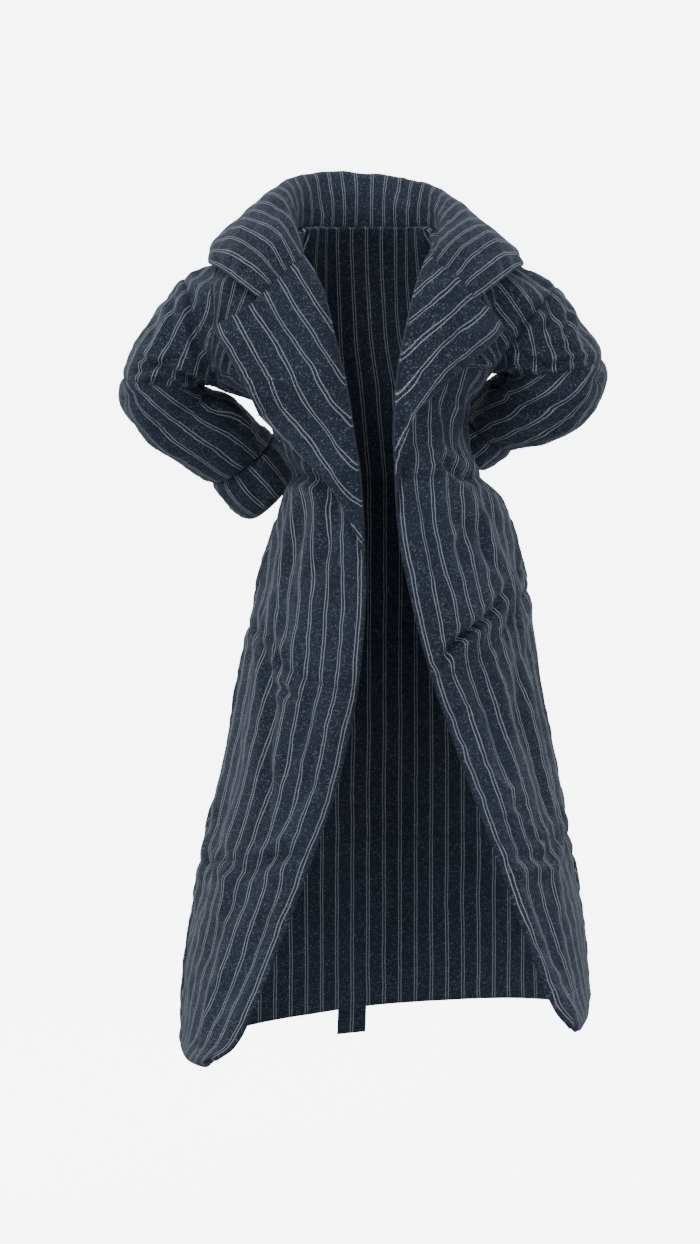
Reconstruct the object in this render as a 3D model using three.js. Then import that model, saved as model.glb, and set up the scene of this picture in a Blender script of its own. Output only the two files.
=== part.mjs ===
import * as THREE from 'three';

// A long padded coat in pinstriped wool, worn open with both hands on the hips.
// All sizes are millimetres. +X is the wearer's left, +Y the wearer's back and +Z is up.
// The origin is the back of the neckline, where the wearer's neck and shoulders hold the coat.

// The padded wall.
const SEAM_GAP = 0.3; // between two pieces that meet at a seam
const SLEEVE_SEAM_GAP = 0.45; // the same round a sleeve, where the seam is curved both ways
const SEAM_WALL = 4; // cloth and crushed filling under a line of quilting
const BODY_PUFF = 10; // how far a channel of the body swells past its quilting
const SLEEVE_PUFF = 8;
const COLLAR_PUFF = 9;
const EDGE_SWELL = 30; // the padding reaches its full loft this far in from an edge
const SEAM_SHARPNESS = 5; // the higher, the steeper the channel falls into its quilting

// Heights along the coat.
const LOWEST = -1240;
const UNDERARM = -247;
const NECKLINE = 0;

// The armholes and shoulders.
const SHOULDER_POINT = { right: [-276, 8, -91], left: [286, 8, -104] };
const NECK_POINT = { right: [-98, 5, -14], left: [98, 5, -14] };
const NECK_FRONT = { right: [-100, -50, -44], left: [99, -48, -42] };
const BACK_NECK = [0, 78, 0];
const BACK_NECK_TURN = [62, 58, -4];
const ARMHOLE_DEPTH = 78; // half of the armhole, front to back
const SHOULDER_ARCH = 7; // the shoulder seam rises this far off a straight line
const BLADE_SWELL = 16; // the back panel's fullness over the shoulder blades

// How finely each piece is divided.
const FRONT_COLUMNS = 8;
const NECK_COLUMNS = 6;
const BACK_COLUMNS = 2 * FRONT_COLUMNS + NECK_COLUMNS;
const BACK_SHOULDER = FRONT_COLUMNS / BACK_COLUMNS; // the share of the back's width under each shoulder seam
const SLEEVE_COLUMNS = 20;
const ARMHOLE_ROWS = SLEEVE_COLUMNS / 2;
const CHANNEL_STEPS = [0, 0.06, 0.3, 0.5, 0.7, 0.94];
const TOP_CHANNEL_STEPS = [0, 0.12, 0.45, 0.75];

const SIGN = { right: -1, left: 1, back: -1 }; // also which way each panel's faces turn
const PINSTRIPE_WOOL = 0x2b323e;

// Rows of numbers become rows of named values.
function table(columns, rows) {
  const names = columns.split(' ');
  return rows.map((row) => Object.fromEntries(names.map((name, k) => [name, row[k]])));
}

// The coat's outline, from the hem up: how far it reaches to each side and to the back.
const BODY = table('height right left sideY backY tilt', [
  [-1217, -287, 343, 30, 205, 0.083],
  [-1130, -282, 338, 30, 200, 0.074],
  [-1035, -270, 325, 30, 190, 0.065],
  [-940, -255, 309, 28, 178, 0.055],
  [-820, -225, 290, 26, 165, 0.043],
  [-675, -199, 264, 24, 150, 0.028],
  [-560, -173, 250, 22, 140, 0.016],
  [-480, -150, 226, 20, 130, 0.008],
  [-415, -127, 200, 20, 116, 0],
  [-388, -120, 177, 20, 106, 0],
  [-340, -136, 158, 18, 112, 0],
  [-285, -168, 162, 14, 122, 0.02],
  [UNDERARM, -227, 188, 10, 128, 0.055],
]);

// The front edge from the hem to the break point, then the lapel's roll line up to the gorge.
const FRONT_EDGE = table('height right left y', [
  [-1217, -226, 296, -200],
  [-1192, -197, 281, -198],
  [-1130, -165, 254, -193],
  [-1035, -123, 220, -182],
  [-940, -84, 186, -170],
  [-820, -42, 141, -160],
  [-675, -14, 91, -150],
  [-560, -6, 61, -143],
  [-480, -9, 46, -140],
  [-410, -14, 41, -141],
  [-342, -23, 40, -142],
  [UNDERARM, -36, 47, -142],
  [-199, -48, 55, -140],
  [-132, -64, 69, -134],
  [-100, -78, 79, -122],
  [-76, -92, 88, -110],
]);

// The lines of quilting that part the body's channels, round the coat from the right front edge.
const QUILTING = table('rightEdge rightSide back leftSide leftEdge', [
  [-1224, -1232, -1217, -1217, -1217],
  [-935, -955, -950, -945, -935],
  [-705, -610, -640, -565, -690],
  [-400, -388, -392, -388, -400],
  [UNDERARM, UNDERARM, UNDERARM, UNDERARM, UNDERARM],
]);
const QUILTING_STOPS = ['rightEdge', 'rightSide', 'back', 'leftSide', 'leftEdge'];

// The body's largest folds, as troughs that run up and down. "round" is 0 at the right front edge,
// 0.25 and 0.75 at the side seams and 1 at the left front edge.
const BODY_FOLDS = table('round lean top bottom width depth', [
  [0.205, 0.00002, -430, -1000, 0.03, 13],
  [0.12, -0.00004, -420, -760, 0.03, 8],
  [0.31, -0.00003, -420, -1100, 0.035, 12],
  [0.375, -0.00001, -410, -900, 0.03, 10],
  [0.44, 0, -410, -1217, 0.035, 12],
  [0.5, 0.00001, -410, -820, 0.03, 9],
  [0.56, 0.00002, -410, -1120, 0.035, 12],
  [0.63, 0.00001, -410, -930, 0.03, 9],
  [0.69, 0.00003, -420, -1217, 0.035, 12],
  [0.79, -0.00002, -480, -960, 0.03, 12],
  [0.88, 0.00003, -420, -660, 0.03, 7],
]);

// Each sleeve's rings, from the armhole to the end of the cuff: the point on the outside of the arm,
// the one on the inside, how far back the ring lies, and half of its depth from front to back.
const SLEEVE = {
  right: table('outX outZ inX inZ y deep', [
    [-306, -128, -237, -252, 10, 77],
    [-328, -163, -244, -249, 14, 76],
    [-353, -200, -250, -250, 18, 74],
    [-369, -239, -254, -254, 22, 72],
    [-371, -277, -251, -260, 28, 70],
    [-354, -305, -235, -263, 40, 68],
    [-331, -334, -208, -270, 55, 65],
    [-297, -355, -188, -282, 76, 62],
    [-266, -375, -169, -296, 97, 59],
    [-240, -396, -146, -316, 118, 55],
    [-210, -429, -125, -350, 130, 52],
    [-178, -451, -108, -378, 138, 50],
  ]),
  left: table('outX outZ inX inZ y deep', [
    [304, -131, 198, -235, 10, 77],
    [322, -157, 203, -231, 14, 76],
    [339, -180, 209, -231, 18, 74],
    [356, -211, 212, -235, 22, 72],
    [361, -241, 209, -240, 28, 70],
    [353, -268, 201, -244, 40, 68],
    [333, -297, 189, -246, 55, 65],
    [300, -316, 176, -250, 76, 62],
    [263, -328, 166, -256, 97, 59],
    [227, -342, 156, -268, 115, 55],
    [200, -357, 138, -281, 129, 52],
    [178, -375, 116, -296, 138, 50],
  ]),
};
const ELBOW_RING = 4; // the row, counting the armhole as 0, where the upper sleeve is quilted across
const CUFF_RING = 10; // where the cuff begins
const LAST_RING = 12;
const CUFF_PROUD = 3; // the turned cuff stands this far outside the sleeve

// The lapels: the free edge from the break point up to the tip, and where the gorge seam ends.
const LAPEL = {
  right: {
    edge: [[-10, -508], [-23, -462], [-41, -425], [-74, -383], [-102, -354], [-151, -297], [-190, -225], [-213, -182]],
    gorgeEnd: [-155, -148],
    breakHeight: -520,
  },
  left: {
    edge: [[43, -437], [45, -407], [52, -350], [64, -311], [100, -273], [146, -227], [191, -180]],
    gorgeEnd: [152, -140],
    breakHeight: -450,
  },
};
const LAPEL_ROWS = 14;
const LAPEL_COLUMNS = 6;
const LAPEL_WALL = 11;
const LAPEL_ROLL_LIFT = 1.2; // the lapel's underside off the front at the roll line
const LAPEL_EDGE_LIFT = 16; // and at its free edge

// The collar, from the notch round to the middle of the back: the line where it is sewn on, the roll,
// the middle of the fall and the leaf edge. The right half stands higher and reaches further out.
const COLLAR = table('baseX baseY baseZ rollX rollY rollZ fallX fallY fallZ leafX leafY leafZ rightUp rightOut', [
  [156, -150, -143, 178, -140, -124, 203, -118, -102, 230, -84, -76, 2, 6],
  [124, -144, -108, 152, -124, -80, 188, -86, -54, 232, -24, -62, 10, 8],
  [93, -125.5, -70, 128, -86, -34, 168, -26, -16, 226, 50, -66, 16, 9],
  [95, -52, -40, 120, -40, 4, 150, 16, 12, 206, 100, -66, 18, 8],
  [92, 6, -15, 108, 18, 40, 134, 70, 24, 160, 134, -78, 18, 5],
  [56, 52, -5, 68, 66, 68, 83, 114, 48, 94, 158, -92, 10, 3],
  [0, 68, -3, 0, 84, 82, 0, 134, 56, 0, 170, -98, 0, 0],
]);
const COLLAR_LINES = { base: 0, roll: 0.3, fall: 0.6, leaf: 1 }; // how much of "rightOut" each line takes
const COLLAR_ROWS = 26;
const COLLAR_COLUMNS = 8;

// The tie belt, drawn tight across the back, with one end that reaches below the hem.
const BELT_WIDTH = 44;
const BELT_WALL = 4;
const BELT_HEIGHT = -392;
const BELT_SUNK = 1.5; // the band's inner face, inside the fullness of the channels it draws in
const BELT_REACH = [-100, 140]; // the band's two ends, at the side seams
const BELT_LOOPS = { right: -72, left: 104 };
const LOOP_WIDTH = 12;
const LOOP_WALL = 2;
const LOOP_HALF_HEIGHT = 34;
const LOOP_SUNK = 0.5; // where its ends are sewn down
const LOOP_RISE = 5.5; // from there to the middle, over the band
const KNOT_SIZE = [54, 50, 22];
const KNOT_X = 15;
const HANGING_GAP = 4; // the hanging ends off the back panel
const HANGING_ENDS = {
  long: { startX: -8, endX: -26, bottom: -1262 },
  short: { startX: 40, endX: 58, bottom: -742 },
};
const HANGING_TOP = -417.8;

const { lerp, clamp, smoothstep } = THREE.MathUtils;

function vector([x, y, z]) {
  return new THREE.Vector3(x, y, z);
}

// A table's column as a smooth function of its key, with no overshoot between the rows.
function smoothColumn(rows, key, name) {
  const x = rows.map((row) => row[key]);
  const y = rows.map((row) => row[name]);
  const slope = x.slice(1).map((next, k) => (y[k + 1] - y[k]) / (next - x[k]));
  const tangent = x.map((_, k) => {
    const before = slope[Math.max(k - 1, 0)];
    const after = slope[Math.min(k, slope.length - 1)];
    return before * after <= 0 ? 0 : (2 * before * after) / (before + after);
  });
  return (at) => {
    const value = clamp(at, x[0], x[x.length - 1]);
    const k = Math.max(x.findIndex((edge) => value <= edge) - 1, 0);
    const span = x[k + 1] - x[k];
    const t = (value - x[k]) / span;
    const t2 = t * t;
    const t3 = t2 * t;
    return (
      (2 * t3 - 3 * t2 + 1) * y[k] +
      (t3 - 2 * t2 + t) * span * tangent[k] +
      (3 * t2 - 2 * t3) * y[k + 1] +
      (t3 - t2) * span * tangent[k + 1]
    );
  };
}

function smoothColumns(rows, key) {
  const names = Object.keys(rows[0]).filter((name) => name !== key);
  return Object.fromEntries(names.map((name) => [name, smoothColumn(rows, key, name)]));
}

const body = smoothColumns(BODY, 'height');
const frontEdge = smoothColumns(FRONT_EDGE, 'height');

// A smooth curve through points, read by the share of its length.
function curve(points) {
  const made = new THREE.CatmullRomCurve3(points, false, 'centripetal');
  return (share) => made.getPointAt(clamp(share, 0, 1));
}

// A surface between four edges: "bottom" and "top" run across, "start" and "finish" run up.
// With a "reach" above 1, the bulge of the edges that run up fades out sooner towards the middle.
function patch({ bottom, top, start, finish, reach = 1 }) {
  const [a, b, c, d] = [bottom(0), bottom(1), top(0), top(1)];
  return (u, v) => {
    const point = bottom(u).multiplyScalar(1 - v).addScaledVector(top(u), v);
    const startBulge = start(v).addScaledVector(a, v - 1).addScaledVector(c, -v);
    const finishBulge = finish(v).addScaledVector(b, v - 1).addScaledVector(d, -v);
    point.addScaledVector(startBulge, (1 - u) ** reach);
    return point.addScaledVector(finishBulge, u ** reach);
  };
}

// The front of the coat at one height: "across" is 0 at the front edge and 1 at the side seam.
function frontRing(side, height, across) {
  const middle = (body.left(height) + body.right(height)) / 2;
  const halfWidth = (body.left(height) - body.right(height)) / 2;
  const edgeX = frontEdge[side](height);
  const turn = Math.acos(clamp((SIGN[side] * (edgeX - middle)) / halfWidth, -1, 1));
  const depth = (body.sideY(height) - frontEdge.y(height)) / Math.sin(turn);
  const angle = (1 - across) * turn;
  const x = middle + SIGN[side] * halfWidth * Math.cos(angle);
  const y = body.sideY(height) - depth * Math.sin(angle);
  return new THREE.Vector3(x, y, height + body.tilt(height) * x);
}

// The back at one height: "across" is 0 at the right side seam and 1 at the left one.
function backRing(height, across) {
  const middle = (body.left(height) + body.right(height)) / 2;
  const halfWidth = (body.left(height) - body.right(height)) / 2;
  const x = middle - halfWidth * Math.cos(Math.PI * across);
  const y = lerp(body.sideY(height), body.backY(height), Math.sin(Math.PI * across));
  return new THREE.Vector3(x, y, height + body.tilt(height) * x);
}

// The armhole, by its angle: 0 at the shoulder point, a quarter turn at the front, half at the underarm.
function armhole(side, angle) {
  const top = vector(SHOULDER_POINT[side]);
  const bottom = frontRing(side, UNDERARM, 1);
  const middle = top.clone().add(bottom).multiplyScalar(0.5);
  const up = top.sub(bottom).multiplyScalar(0.5);
  middle.addScaledVector(up, Math.cos(angle));
  middle.y -= ARMHOLE_DEPTH * Math.sin(angle);
  return middle;
}

// The shoulder seam from the neck point out to the shoulder point.
function shoulderSeam(side) {
  const inner = vector(NECK_POINT[side]);
  const outer = vector(SHOULDER_POINT[side]);
  const middle = inner.clone().add(outer).multiplyScalar(0.5);
  middle.z += SHOULDER_ARCH;
  return [inner, middle, outer];
}

function frontYoke(side) {
  const roll = FRONT_EDGE.filter((row) => row.height > UNDERARM);
  const neckEdge = curve([
    frontRing(side, UNDERARM, 0),
    ...roll.map((row) => new THREE.Vector3(row[side], row.y, row.height)),
    vector(NECK_FRONT[side]),
    vector(NECK_POINT[side]),
  ]);
  return patch({
    bottom: (u) => frontRing(side, UNDERARM, u),
    top: curve(shoulderSeam(side)),
    start: neckEdge,
    finish: (v) => armhole(side, Math.PI * (1 - v)),
  });
}

function backYoke() {
  const neckline = curve([
    vector(NECK_POINT.right),
    new THREE.Vector3(-BACK_NECK_TURN[0], BACK_NECK_TURN[1], BACK_NECK_TURN[2]),
    vector(BACK_NECK),
    vector(BACK_NECK_TURN),
    vector(NECK_POINT.left),
  ]);
  const shoulder = { right: curve(shoulderSeam('right')), left: curve(shoulderSeam('left')) };
  const top = (u) => {
    if (u < BACK_SHOULDER) return shoulder.right(1 - u / BACK_SHOULDER);
    if (u > 1 - BACK_SHOULDER) return shoulder.left(1 - (1 - u) / BACK_SHOULDER);
    return neckline((u - BACK_SHOULDER) / (1 - 2 * BACK_SHOULDER));
  };
  return patch({
    reach: 3,
    bottom: (u) => backRing(UNDERARM, u),
    top,
    start: (v) => armhole('right', Math.PI * (1 + v)),
    finish: (v) => armhole('left', Math.PI * (1 + v)),
  });
}

const yoke = { right: frontYoke('right'), left: frontYoke('left'), back: backYoke() };

// A point on the body: "height" runs to UNDERARM along the rings, and on to NECKLINE over the yoke.
function bodyPoint(panel, height, across) {
  if (height <= UNDERARM) {
    return panel === 'back' ? backRing(height, across) : frontRing(panel, height, across);
  }
  const up = (height - UNDERARM) / (NECKLINE - UNDERARM);
  const point = yoke[panel](across, up);
  if (panel === 'back') point.y += BLADE_SWELL * Math.sin(Math.PI * across) * Math.sin(Math.PI * up);
  return point;
}

// The outward normal of a surface that is given as a function of two shares.
function normalOf(surface, u, v, turn, [lowU, highU], [lowV, highV]) {
  const step = 1e-3;
  const u0 = Math.max(u - step * (highU - lowU), lowU);
  const u1 = Math.min(u + step * (highU - lowU), highU);
  const v0 = Math.max(v - step * (highV - lowV), lowV);
  const v1 = Math.min(v + step * (highV - lowV), highV);
  const alongU = surface(u1, v).sub(surface(u0, v));
  const alongV = surface(u, v1).sub(surface(u, v0));
  return alongU.cross(alongV).multiplyScalar(turn).normalize();
}

function bodyNormal(panel, height, across) {
  const surface = (u, v) => bodyPoint(panel, v, u);
  return normalOf(surface, across, height, SIGN[panel], [0, 1], [LOWEST, NECKLINE]);
}

// How far round the coat a point of a panel lies, from 0 at the right front edge to 1 at the left one.
function roundCoat(panel, across) {
  if (panel === 'right') return across / 4;
  return panel === 'back' ? 0.25 + across / 2 : 1 - across / 4;
}

// The height of a line of quilting at a place round the coat.
function quiltingHeight(line, round) {
  const stop = Math.min(Math.floor(round * 4), 3);
  const share = smoothstep(round * 4 - stop, 0, 1);
  return lerp(QUILTING[line][QUILTING_STOPS[stop]], QUILTING[line][QUILTING_STOPS[stop + 1]], share);
}

// The swell of a channel between its lines of quilting, from 0 at a line to 1 in the middle.
function channelSwell(share) {
  return 1 - Math.abs(2 * share - 1) ** SEAM_SHARPNESS;
}

function edgeSwell(distance) {
  const share = clamp(distance / EDGE_SWELL, 0, 1);
  return 1 - (1 - share) ** 2;
}

function foldDepth(round, height) {
  return BODY_FOLDS.reduce((sum, fold) => {
    const middle = fold.round + fold.lean * (height - fold.top);
    const across = Math.exp(-(((round - middle) / fold.width) ** 2));
    const fade = smoothstep(height, fold.bottom - 90, fold.bottom + 60) * (1 - smoothstep(height, fold.top - 60, fold.top));
    return sum + fold.depth * across * fade;
  }, 0);
}

// The rows of the body's faces: which channel each lies in, and how far up it.
const BODY_ROWS = [
  ...[0, 1, 2].flatMap((channel) => CHANNEL_STEPS.map((share) => ({ channel, share }))),
  ...TOP_CHANNEL_STEPS.map((share) => ({ channel: 3, share })),
  ...Array.from({ length: ARMHOLE_ROWS + 1 }, (_, k) => ({ yoke: k / ARMHOLE_ROWS })),
];

function rowHeight(row, round) {
  if (row.yoke !== undefined) return lerp(UNDERARM, NECKLINE, row.yoke);
  return lerp(quiltingHeight(row.channel, round), quiltingHeight(row.channel + 1, round), row.share);
}

function rowSwell(row) {
  if (row.yoke !== undefined) return 1 - 0.6 * row.yoke ** 6;
  return channelSwell(row.channel === 3 ? Math.min(row.share, 0.5) : row.share);
}

const PANEL_WIDTH = { back: 600, right: 270, left: 270 };
const SIDE_SEAM_SWELL = 0.7; // the side seams are sewn, not quilted, so they sink less

// The wall's direction round the armhole, which the sleeve and the body share.
function armholeNormal(side, angle) {
  const up = armhole(side, 0).sub(armhole(side, Math.PI));
  const halfHeight = up.length() / 2;
  const normal = up.normalize().multiplyScalar(Math.cos(angle) / halfHeight);
  normal.y -= Math.sin(angle) / ARMHOLE_DEPTH;
  normal.normalize();
  normal.x += SIGN[side] * 0.8 * (0.5 - 0.5 * Math.cos(angle)) ** 2;
  return normal.normalize();
}

// Square to the armhole, away from the body.
function armDirection(side) {
  const up = armhole(side, 0).sub(armhole(side, Math.PI)).normalize();
  return new THREE.Vector3(up.z, 0, -up.x).multiplyScalar(SIGN[side]);
}

// Square to the shoulder seam, in the plane of the seam.
function shoulderNormal(side, share) {
  const seam = curve(shoulderSeam(side));
  const along = seam(Math.min(share + 0.02, 1)).sub(seam(Math.max(share - 0.02, 0))).normalize();
  return new THREE.Vector3(-along.z, 0, along.x).multiplyScalar(SIGN[side]);
}

// The seam that a point of a panel lies on, if it lies on one.
function seamAt(panel, row, share) {
  const onSide = panel === 'back' ? share === 0 || share === 1 : share === 1;
  const side = panel === 'back' ? (share < 0.5 ? 'right' : 'left') : panel;
  if (onSide && row.yoke === undefined) return { kind: 'side', side };
  if (onSide) return { kind: 'armhole', side };
  if (row.yoke !== 1) return { kind: 'none', side };
  if (panel !== 'back') return { kind: 'shoulder', side, share };
  const fromArmhole = Math.min(share, 1 - share) / BACK_SHOULDER;
  return fromArmhole <= 1 + 1e-9 ? { kind: 'shoulder', side, share: 1 - fromArmhole } : { kind: 'none', side };
}

// The reference surface and the wall's direction at a place on a panel, held off its seams by half a gap.
function panelFrame(panel, row, share, height) {
  const seam = seamAt(panel, row, share);
  const back = panel === 'back';
  const shift = (back ? SEAM_GAP : -SEAM_GAP) / 2;
  if (seam.kind === 'side') {
    const point = frontRing(seam.side, height, 1);
    point.y += shift;
    return { point, normal: bodyNormal(seam.side, height, 1) };
  }
  if (seam.kind === 'armhole') {
    const angle = Math.PI * (back ? 1 + row.yoke : 1 - row.yoke);
    const point = armhole(seam.side, angle).addScaledVector(armDirection(seam.side), -SLEEVE_SEAM_GAP / 2);
    if (row.yoke === 0 || row.yoke === 1) point.y += shift;
    return { point, normal: armholeNormal(seam.side, angle) };
  }
  const point = bodyPoint(panel, height, share);
  if (seam.kind === 'shoulder') {
    point.y += shift;
    return { point, normal: shoulderNormal(seam.side, seam.share) };
  }
  return { point, normal: bodyNormal(panel, height, share) };
}

// The outer and inner points of a body panel at a row and a share of its width.
function panelWall(panel, row, share) {
  const round = roundCoat(panel, share);
  const height = rowHeight(row, round);
  const { point, normal } = panelFrame(panel, row, share, height);
  if (seamAt(panel, row, share).kind === 'armhole') {
    const outer = point.clone().addScaledVector(normal, -SLEEVE_PUFF);
    return { outer, inner: outer.clone().addScaledVector(normal, -SEAM_WALL) };
  }
  const width = PANEL_WIDTH[panel];
  const fromSide = panel === 'back' ? Math.min(share, 1 - share) * width : (1 - share) * width;
  const fromEdge = panel === 'back' ? width : share * width;
  const swell = rowSwell(row) * lerp(SIDE_SEAM_SWELL, 1, edgeSwell(fromSide)) * edgeSwell(fromEdge);
  const fold = row.yoke === undefined ? foldDepth(round, height) * edgeSwell(fromEdge) : 0;
  const outer = point.clone().addScaledVector(normal, BODY_PUFF * (swell - 1) - fold);
  const inner = point.clone().addScaledVector(normal, -BODY_PUFF - SEAM_WALL - fold);
  return { outer, inner };
}

// A closed wall from rows of outer and inner points. A tube's last column joins its first.
function wallGeometry(rows, closed = false) {
  const count = rows[0].length;
  const points = rows.flat();
  const positions = [...points.map((p) => p.outer), ...points.map((p) => p.inner)];
  const outer = (i, j) => i * count + (j % count);
  const inner = (i, j) => points.length + outer(i, j);
  const faces = [];
  const span = (a, b) => positions[a].distanceTo(positions[b]);
  const quad = (a, b, c, d) => {
    if (span(a, c) <= span(b, d)) faces.push(a, b, c, a, c, d);
    else faces.push(b, c, d, b, d, a);
  };
  const lastColumn = closed ? count : count - 1;
  const lastRow = rows.length - 1;
  for (let i = 0; i < lastRow; i += 1) {
    for (let j = 0; j < lastColumn; j += 1) {
      quad(outer(i, j), outer(i, j + 1), outer(i + 1, j + 1), outer(i + 1, j));
      quad(inner(i, j), inner(i + 1, j), inner(i + 1, j + 1), inner(i, j + 1));
    }
    if (!closed) {
      quad(outer(i, 0), outer(i + 1, 0), inner(i + 1, 0), inner(i, 0));
      quad(outer(i, lastColumn), inner(i, lastColumn), inner(i + 1, lastColumn), outer(i + 1, lastColumn));
    }
  }
  for (let j = 0; j < lastColumn; j += 1) {
    quad(outer(0, j), inner(0, j), inner(0, j + 1), outer(0, j + 1));
    quad(outer(lastRow, j), outer(lastRow, j + 1), inner(lastRow, j + 1), inner(lastRow, j));
  }
  const geometry = new THREE.BufferGeometry().setFromPoints(positions);
  geometry.setIndex(faces);
  geometry.computeVertexNormals();
  return geometry;
}

// Rows of wall points, with their columns reversed where the wall would face inwards.
function wallRows(rowCount, columnCount, pointAt, reversed = false) {
  return Array.from({ length: rowCount }, (_, i) => {
    const row = Array.from({ length: columnCount }, (_unused, j) => pointAt(i, j));
    return reversed ? row.reverse() : row;
  });
}

const coat = new THREE.Group();

function addPiece(name, geometry) {
  const material = new THREE.MeshStandardMaterial({ color: PINSTRIPE_WOOL, roughness: 0.92, metalness: 0 });
  const piece = new THREE.Mesh(geometry, material);
  piece.name = name;
  coat.add(piece);
  return piece;
}

function addPanel(name, panel, columns) {
  const pointAt = (i, j) => panelWall(panel, BODY_ROWS[i], j / columns);
  addPiece(name, wallGeometry(wallRows(BODY_ROWS.length, columns + 1, pointAt, panel !== 'left')));
}

// A sleeve ring as a function of its place along the arm and its angle round it.
function sleeveSurface(side) {
  const rings = SLEEVE[side].map((row) => ({
    out: new THREE.Vector3(row.outX, row.y, row.outZ),
    inn: new THREE.Vector3(row.inX, row.y, row.inZ),
    deep: row.deep,
  }));
  rings.unshift({ out: armhole(side, 0), inn: armhole(side, Math.PI), deep: ARMHOLE_DEPTH });
  const outside = new THREE.CatmullRomCurve3(rings.map((ring) => ring.out), false, 'centripetal');
  const inside = new THREE.CatmullRomCurve3(rings.map((ring) => ring.inn), false, 'centripetal');
  const last = rings.length - 1;
  return (along, angle) => {
    const share = clamp(along / last, 0, 1);
    const k = Math.min(Math.floor(along), last - 1);
    const deep = lerp(rings[k].deep, rings[k + 1].deep, clamp(along - k, 0, 1));
    const out = outside.getPoint(share);
    const inn = inside.getPoint(share);
    const up = out.clone().sub(inn).multiplyScalar(0.5);
    const centre = out.clone().add(inn).multiplyScalar(0.5);
    const ahead = Math.min(share + 0.02, 1);
    const behind = Math.max(share - 0.02, 0);
    const travel = outside.getPoint(ahead).add(inside.getPoint(ahead));
    travel.sub(outside.getPoint(behind)).sub(inside.getPoint(behind));
    const forward = travel.cross(up).normalize();
    if (forward.y > 0) forward.negate();
    forward.lerp(new THREE.Vector3(0, -1, 0), 1 - smoothstep(along, 0, 2)).normalize();
    return centre.addScaledVector(up, Math.cos(angle)).addScaledVector(forward, deep * Math.sin(angle));
  };
}

// A stretch of a sleeve from one ring to another, as a tube with open ends.
function addSleeveStretch(name, side, from, to, proud = 0) {
  const surface = sleeveSurface(side);
  const stops = [from, from + 0.3];
  for (let ring = from + 1; ring < to; ring += 1) stops.push(ring);
  stops.push(to - 0.3, to);
  const step = 1e-3;
  const frameAt = (along, angle) => {
    if (along === 0) {
      const start = armhole(side, angle).addScaledVector(armDirection(side), SLEEVE_SEAM_GAP / 2);
      return { point: start, normal: armholeNormal(side, angle) };
    }
    const point = surface(along, angle);
    const round = surface(along, angle + step).sub(surface(along, angle - step));
    const length = surface(Math.min(along + step, LAST_RING), angle).sub(surface(along - step, angle));
    const normal = round.cross(length).normalize();
    if (normal.dot(point.clone().sub(surface(along, angle + Math.PI))) < 0) normal.negate();
    const atSeam = along === from ? SLEEVE_SEAM_GAP / 2 : -SLEEVE_SEAM_GAP / 2;
    if (along === from || along === to) point.addScaledVector(length.normalize(), atSeam);
    return { point, normal };
  };
  const pointAt = (i, j) => {
    const { point, normal } = frameAt(stops[i], (2 * Math.PI * j) / SLEEVE_COLUMNS);
    const swell = channelSwell((stops[i] - from) / (to - from));
    const outer = point.clone().addScaledVector(normal, proud - SLEEVE_PUFF * (1 - swell));
    const inner = point.clone().addScaledVector(normal, -SLEEVE_PUFF - SEAM_WALL);
    return { outer, inner };
  };
  addPiece(name, wallGeometry(wallRows(stops.length, SLEEVE_COLUMNS, pointAt, side === 'right'), true));
}

// The place on a front panel that lies behind a point of the photo's plane, found by a few corrections.
function frontBehind(side, x, z) {
  let across = 0.4;
  let height = z;
  const step = 1e-3;
  for (let turn = 0; turn < 12; turn += 1) {
    const point = bodyPoint(side, height, across);
    const slope = (bodyPoint(side, height, across + step).x - point.x) / step;
    across = clamp(across + (x - point.x) / slope, 0, 1);
    height = clamp(height + (z - point.z), LOWEST, NECKLINE);
  }
  return { point: bodyPoint(side, height, across), normal: bodyNormal(side, height, across), across };
}

function lapelOutline(side) {
  const { edge, gorgeEnd, breakHeight } = LAPEL[side];
  const flat = ([x, z]) => new THREE.Vector3(x, 0, z);
  const roll = FRONT_EDGE.filter((row) => row.height > breakHeight);
  const rollStart = new THREE.Vector3(frontEdge[side](breakHeight), 0, breakHeight);
  const start = curve([rollStart, ...roll.map((row) => new THREE.Vector3(row[side], 0, row.height))]);
  const finish = curve(edge.map(flat));
  const top = curve([start(1), flat(gorgeEnd), finish(1)]);
  const bottom = curve([rollStart, flat(edge[0])]);
  return patch({ bottom, top, start, finish });
}

function addLapel(name, side) {
  const outline = lapelOutline(side);
  const pointAt = (i, j) => {
    const across = j / LAPEL_COLUMNS;
    const up = i / LAPEL_ROWS;
    const flat = outline(across, up);
    const behind = frontBehind(side, flat.x, flat.z);
    const { point, normal } = behind;
    const sunk = BODY_PUFF * (1 - edgeSwell(behind.across * PANEL_WIDTH[side]));
    const lift = lerp(LAPEL_ROLL_LIFT, LAPEL_EDGE_LIFT, across * smoothstep(up, 0, 0.5)) - sunk;
    const swell = edgeSwell(across * 120) * edgeSwell((1 - across) * 120) * edgeSwell(up * 400) * edgeSwell((1 - up) * 400);
    const inner = point.clone().addScaledVector(normal, lift);
    const outer = inner.clone().addScaledVector(normal, lerp(SEAM_WALL, LAPEL_WALL, swell));
    return { outer, inner };
  };
  addPiece(name, wallGeometry(wallRows(LAPEL_ROWS + 1, LAPEL_COLUMNS + 1, pointAt, side === 'right')));
}

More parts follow.
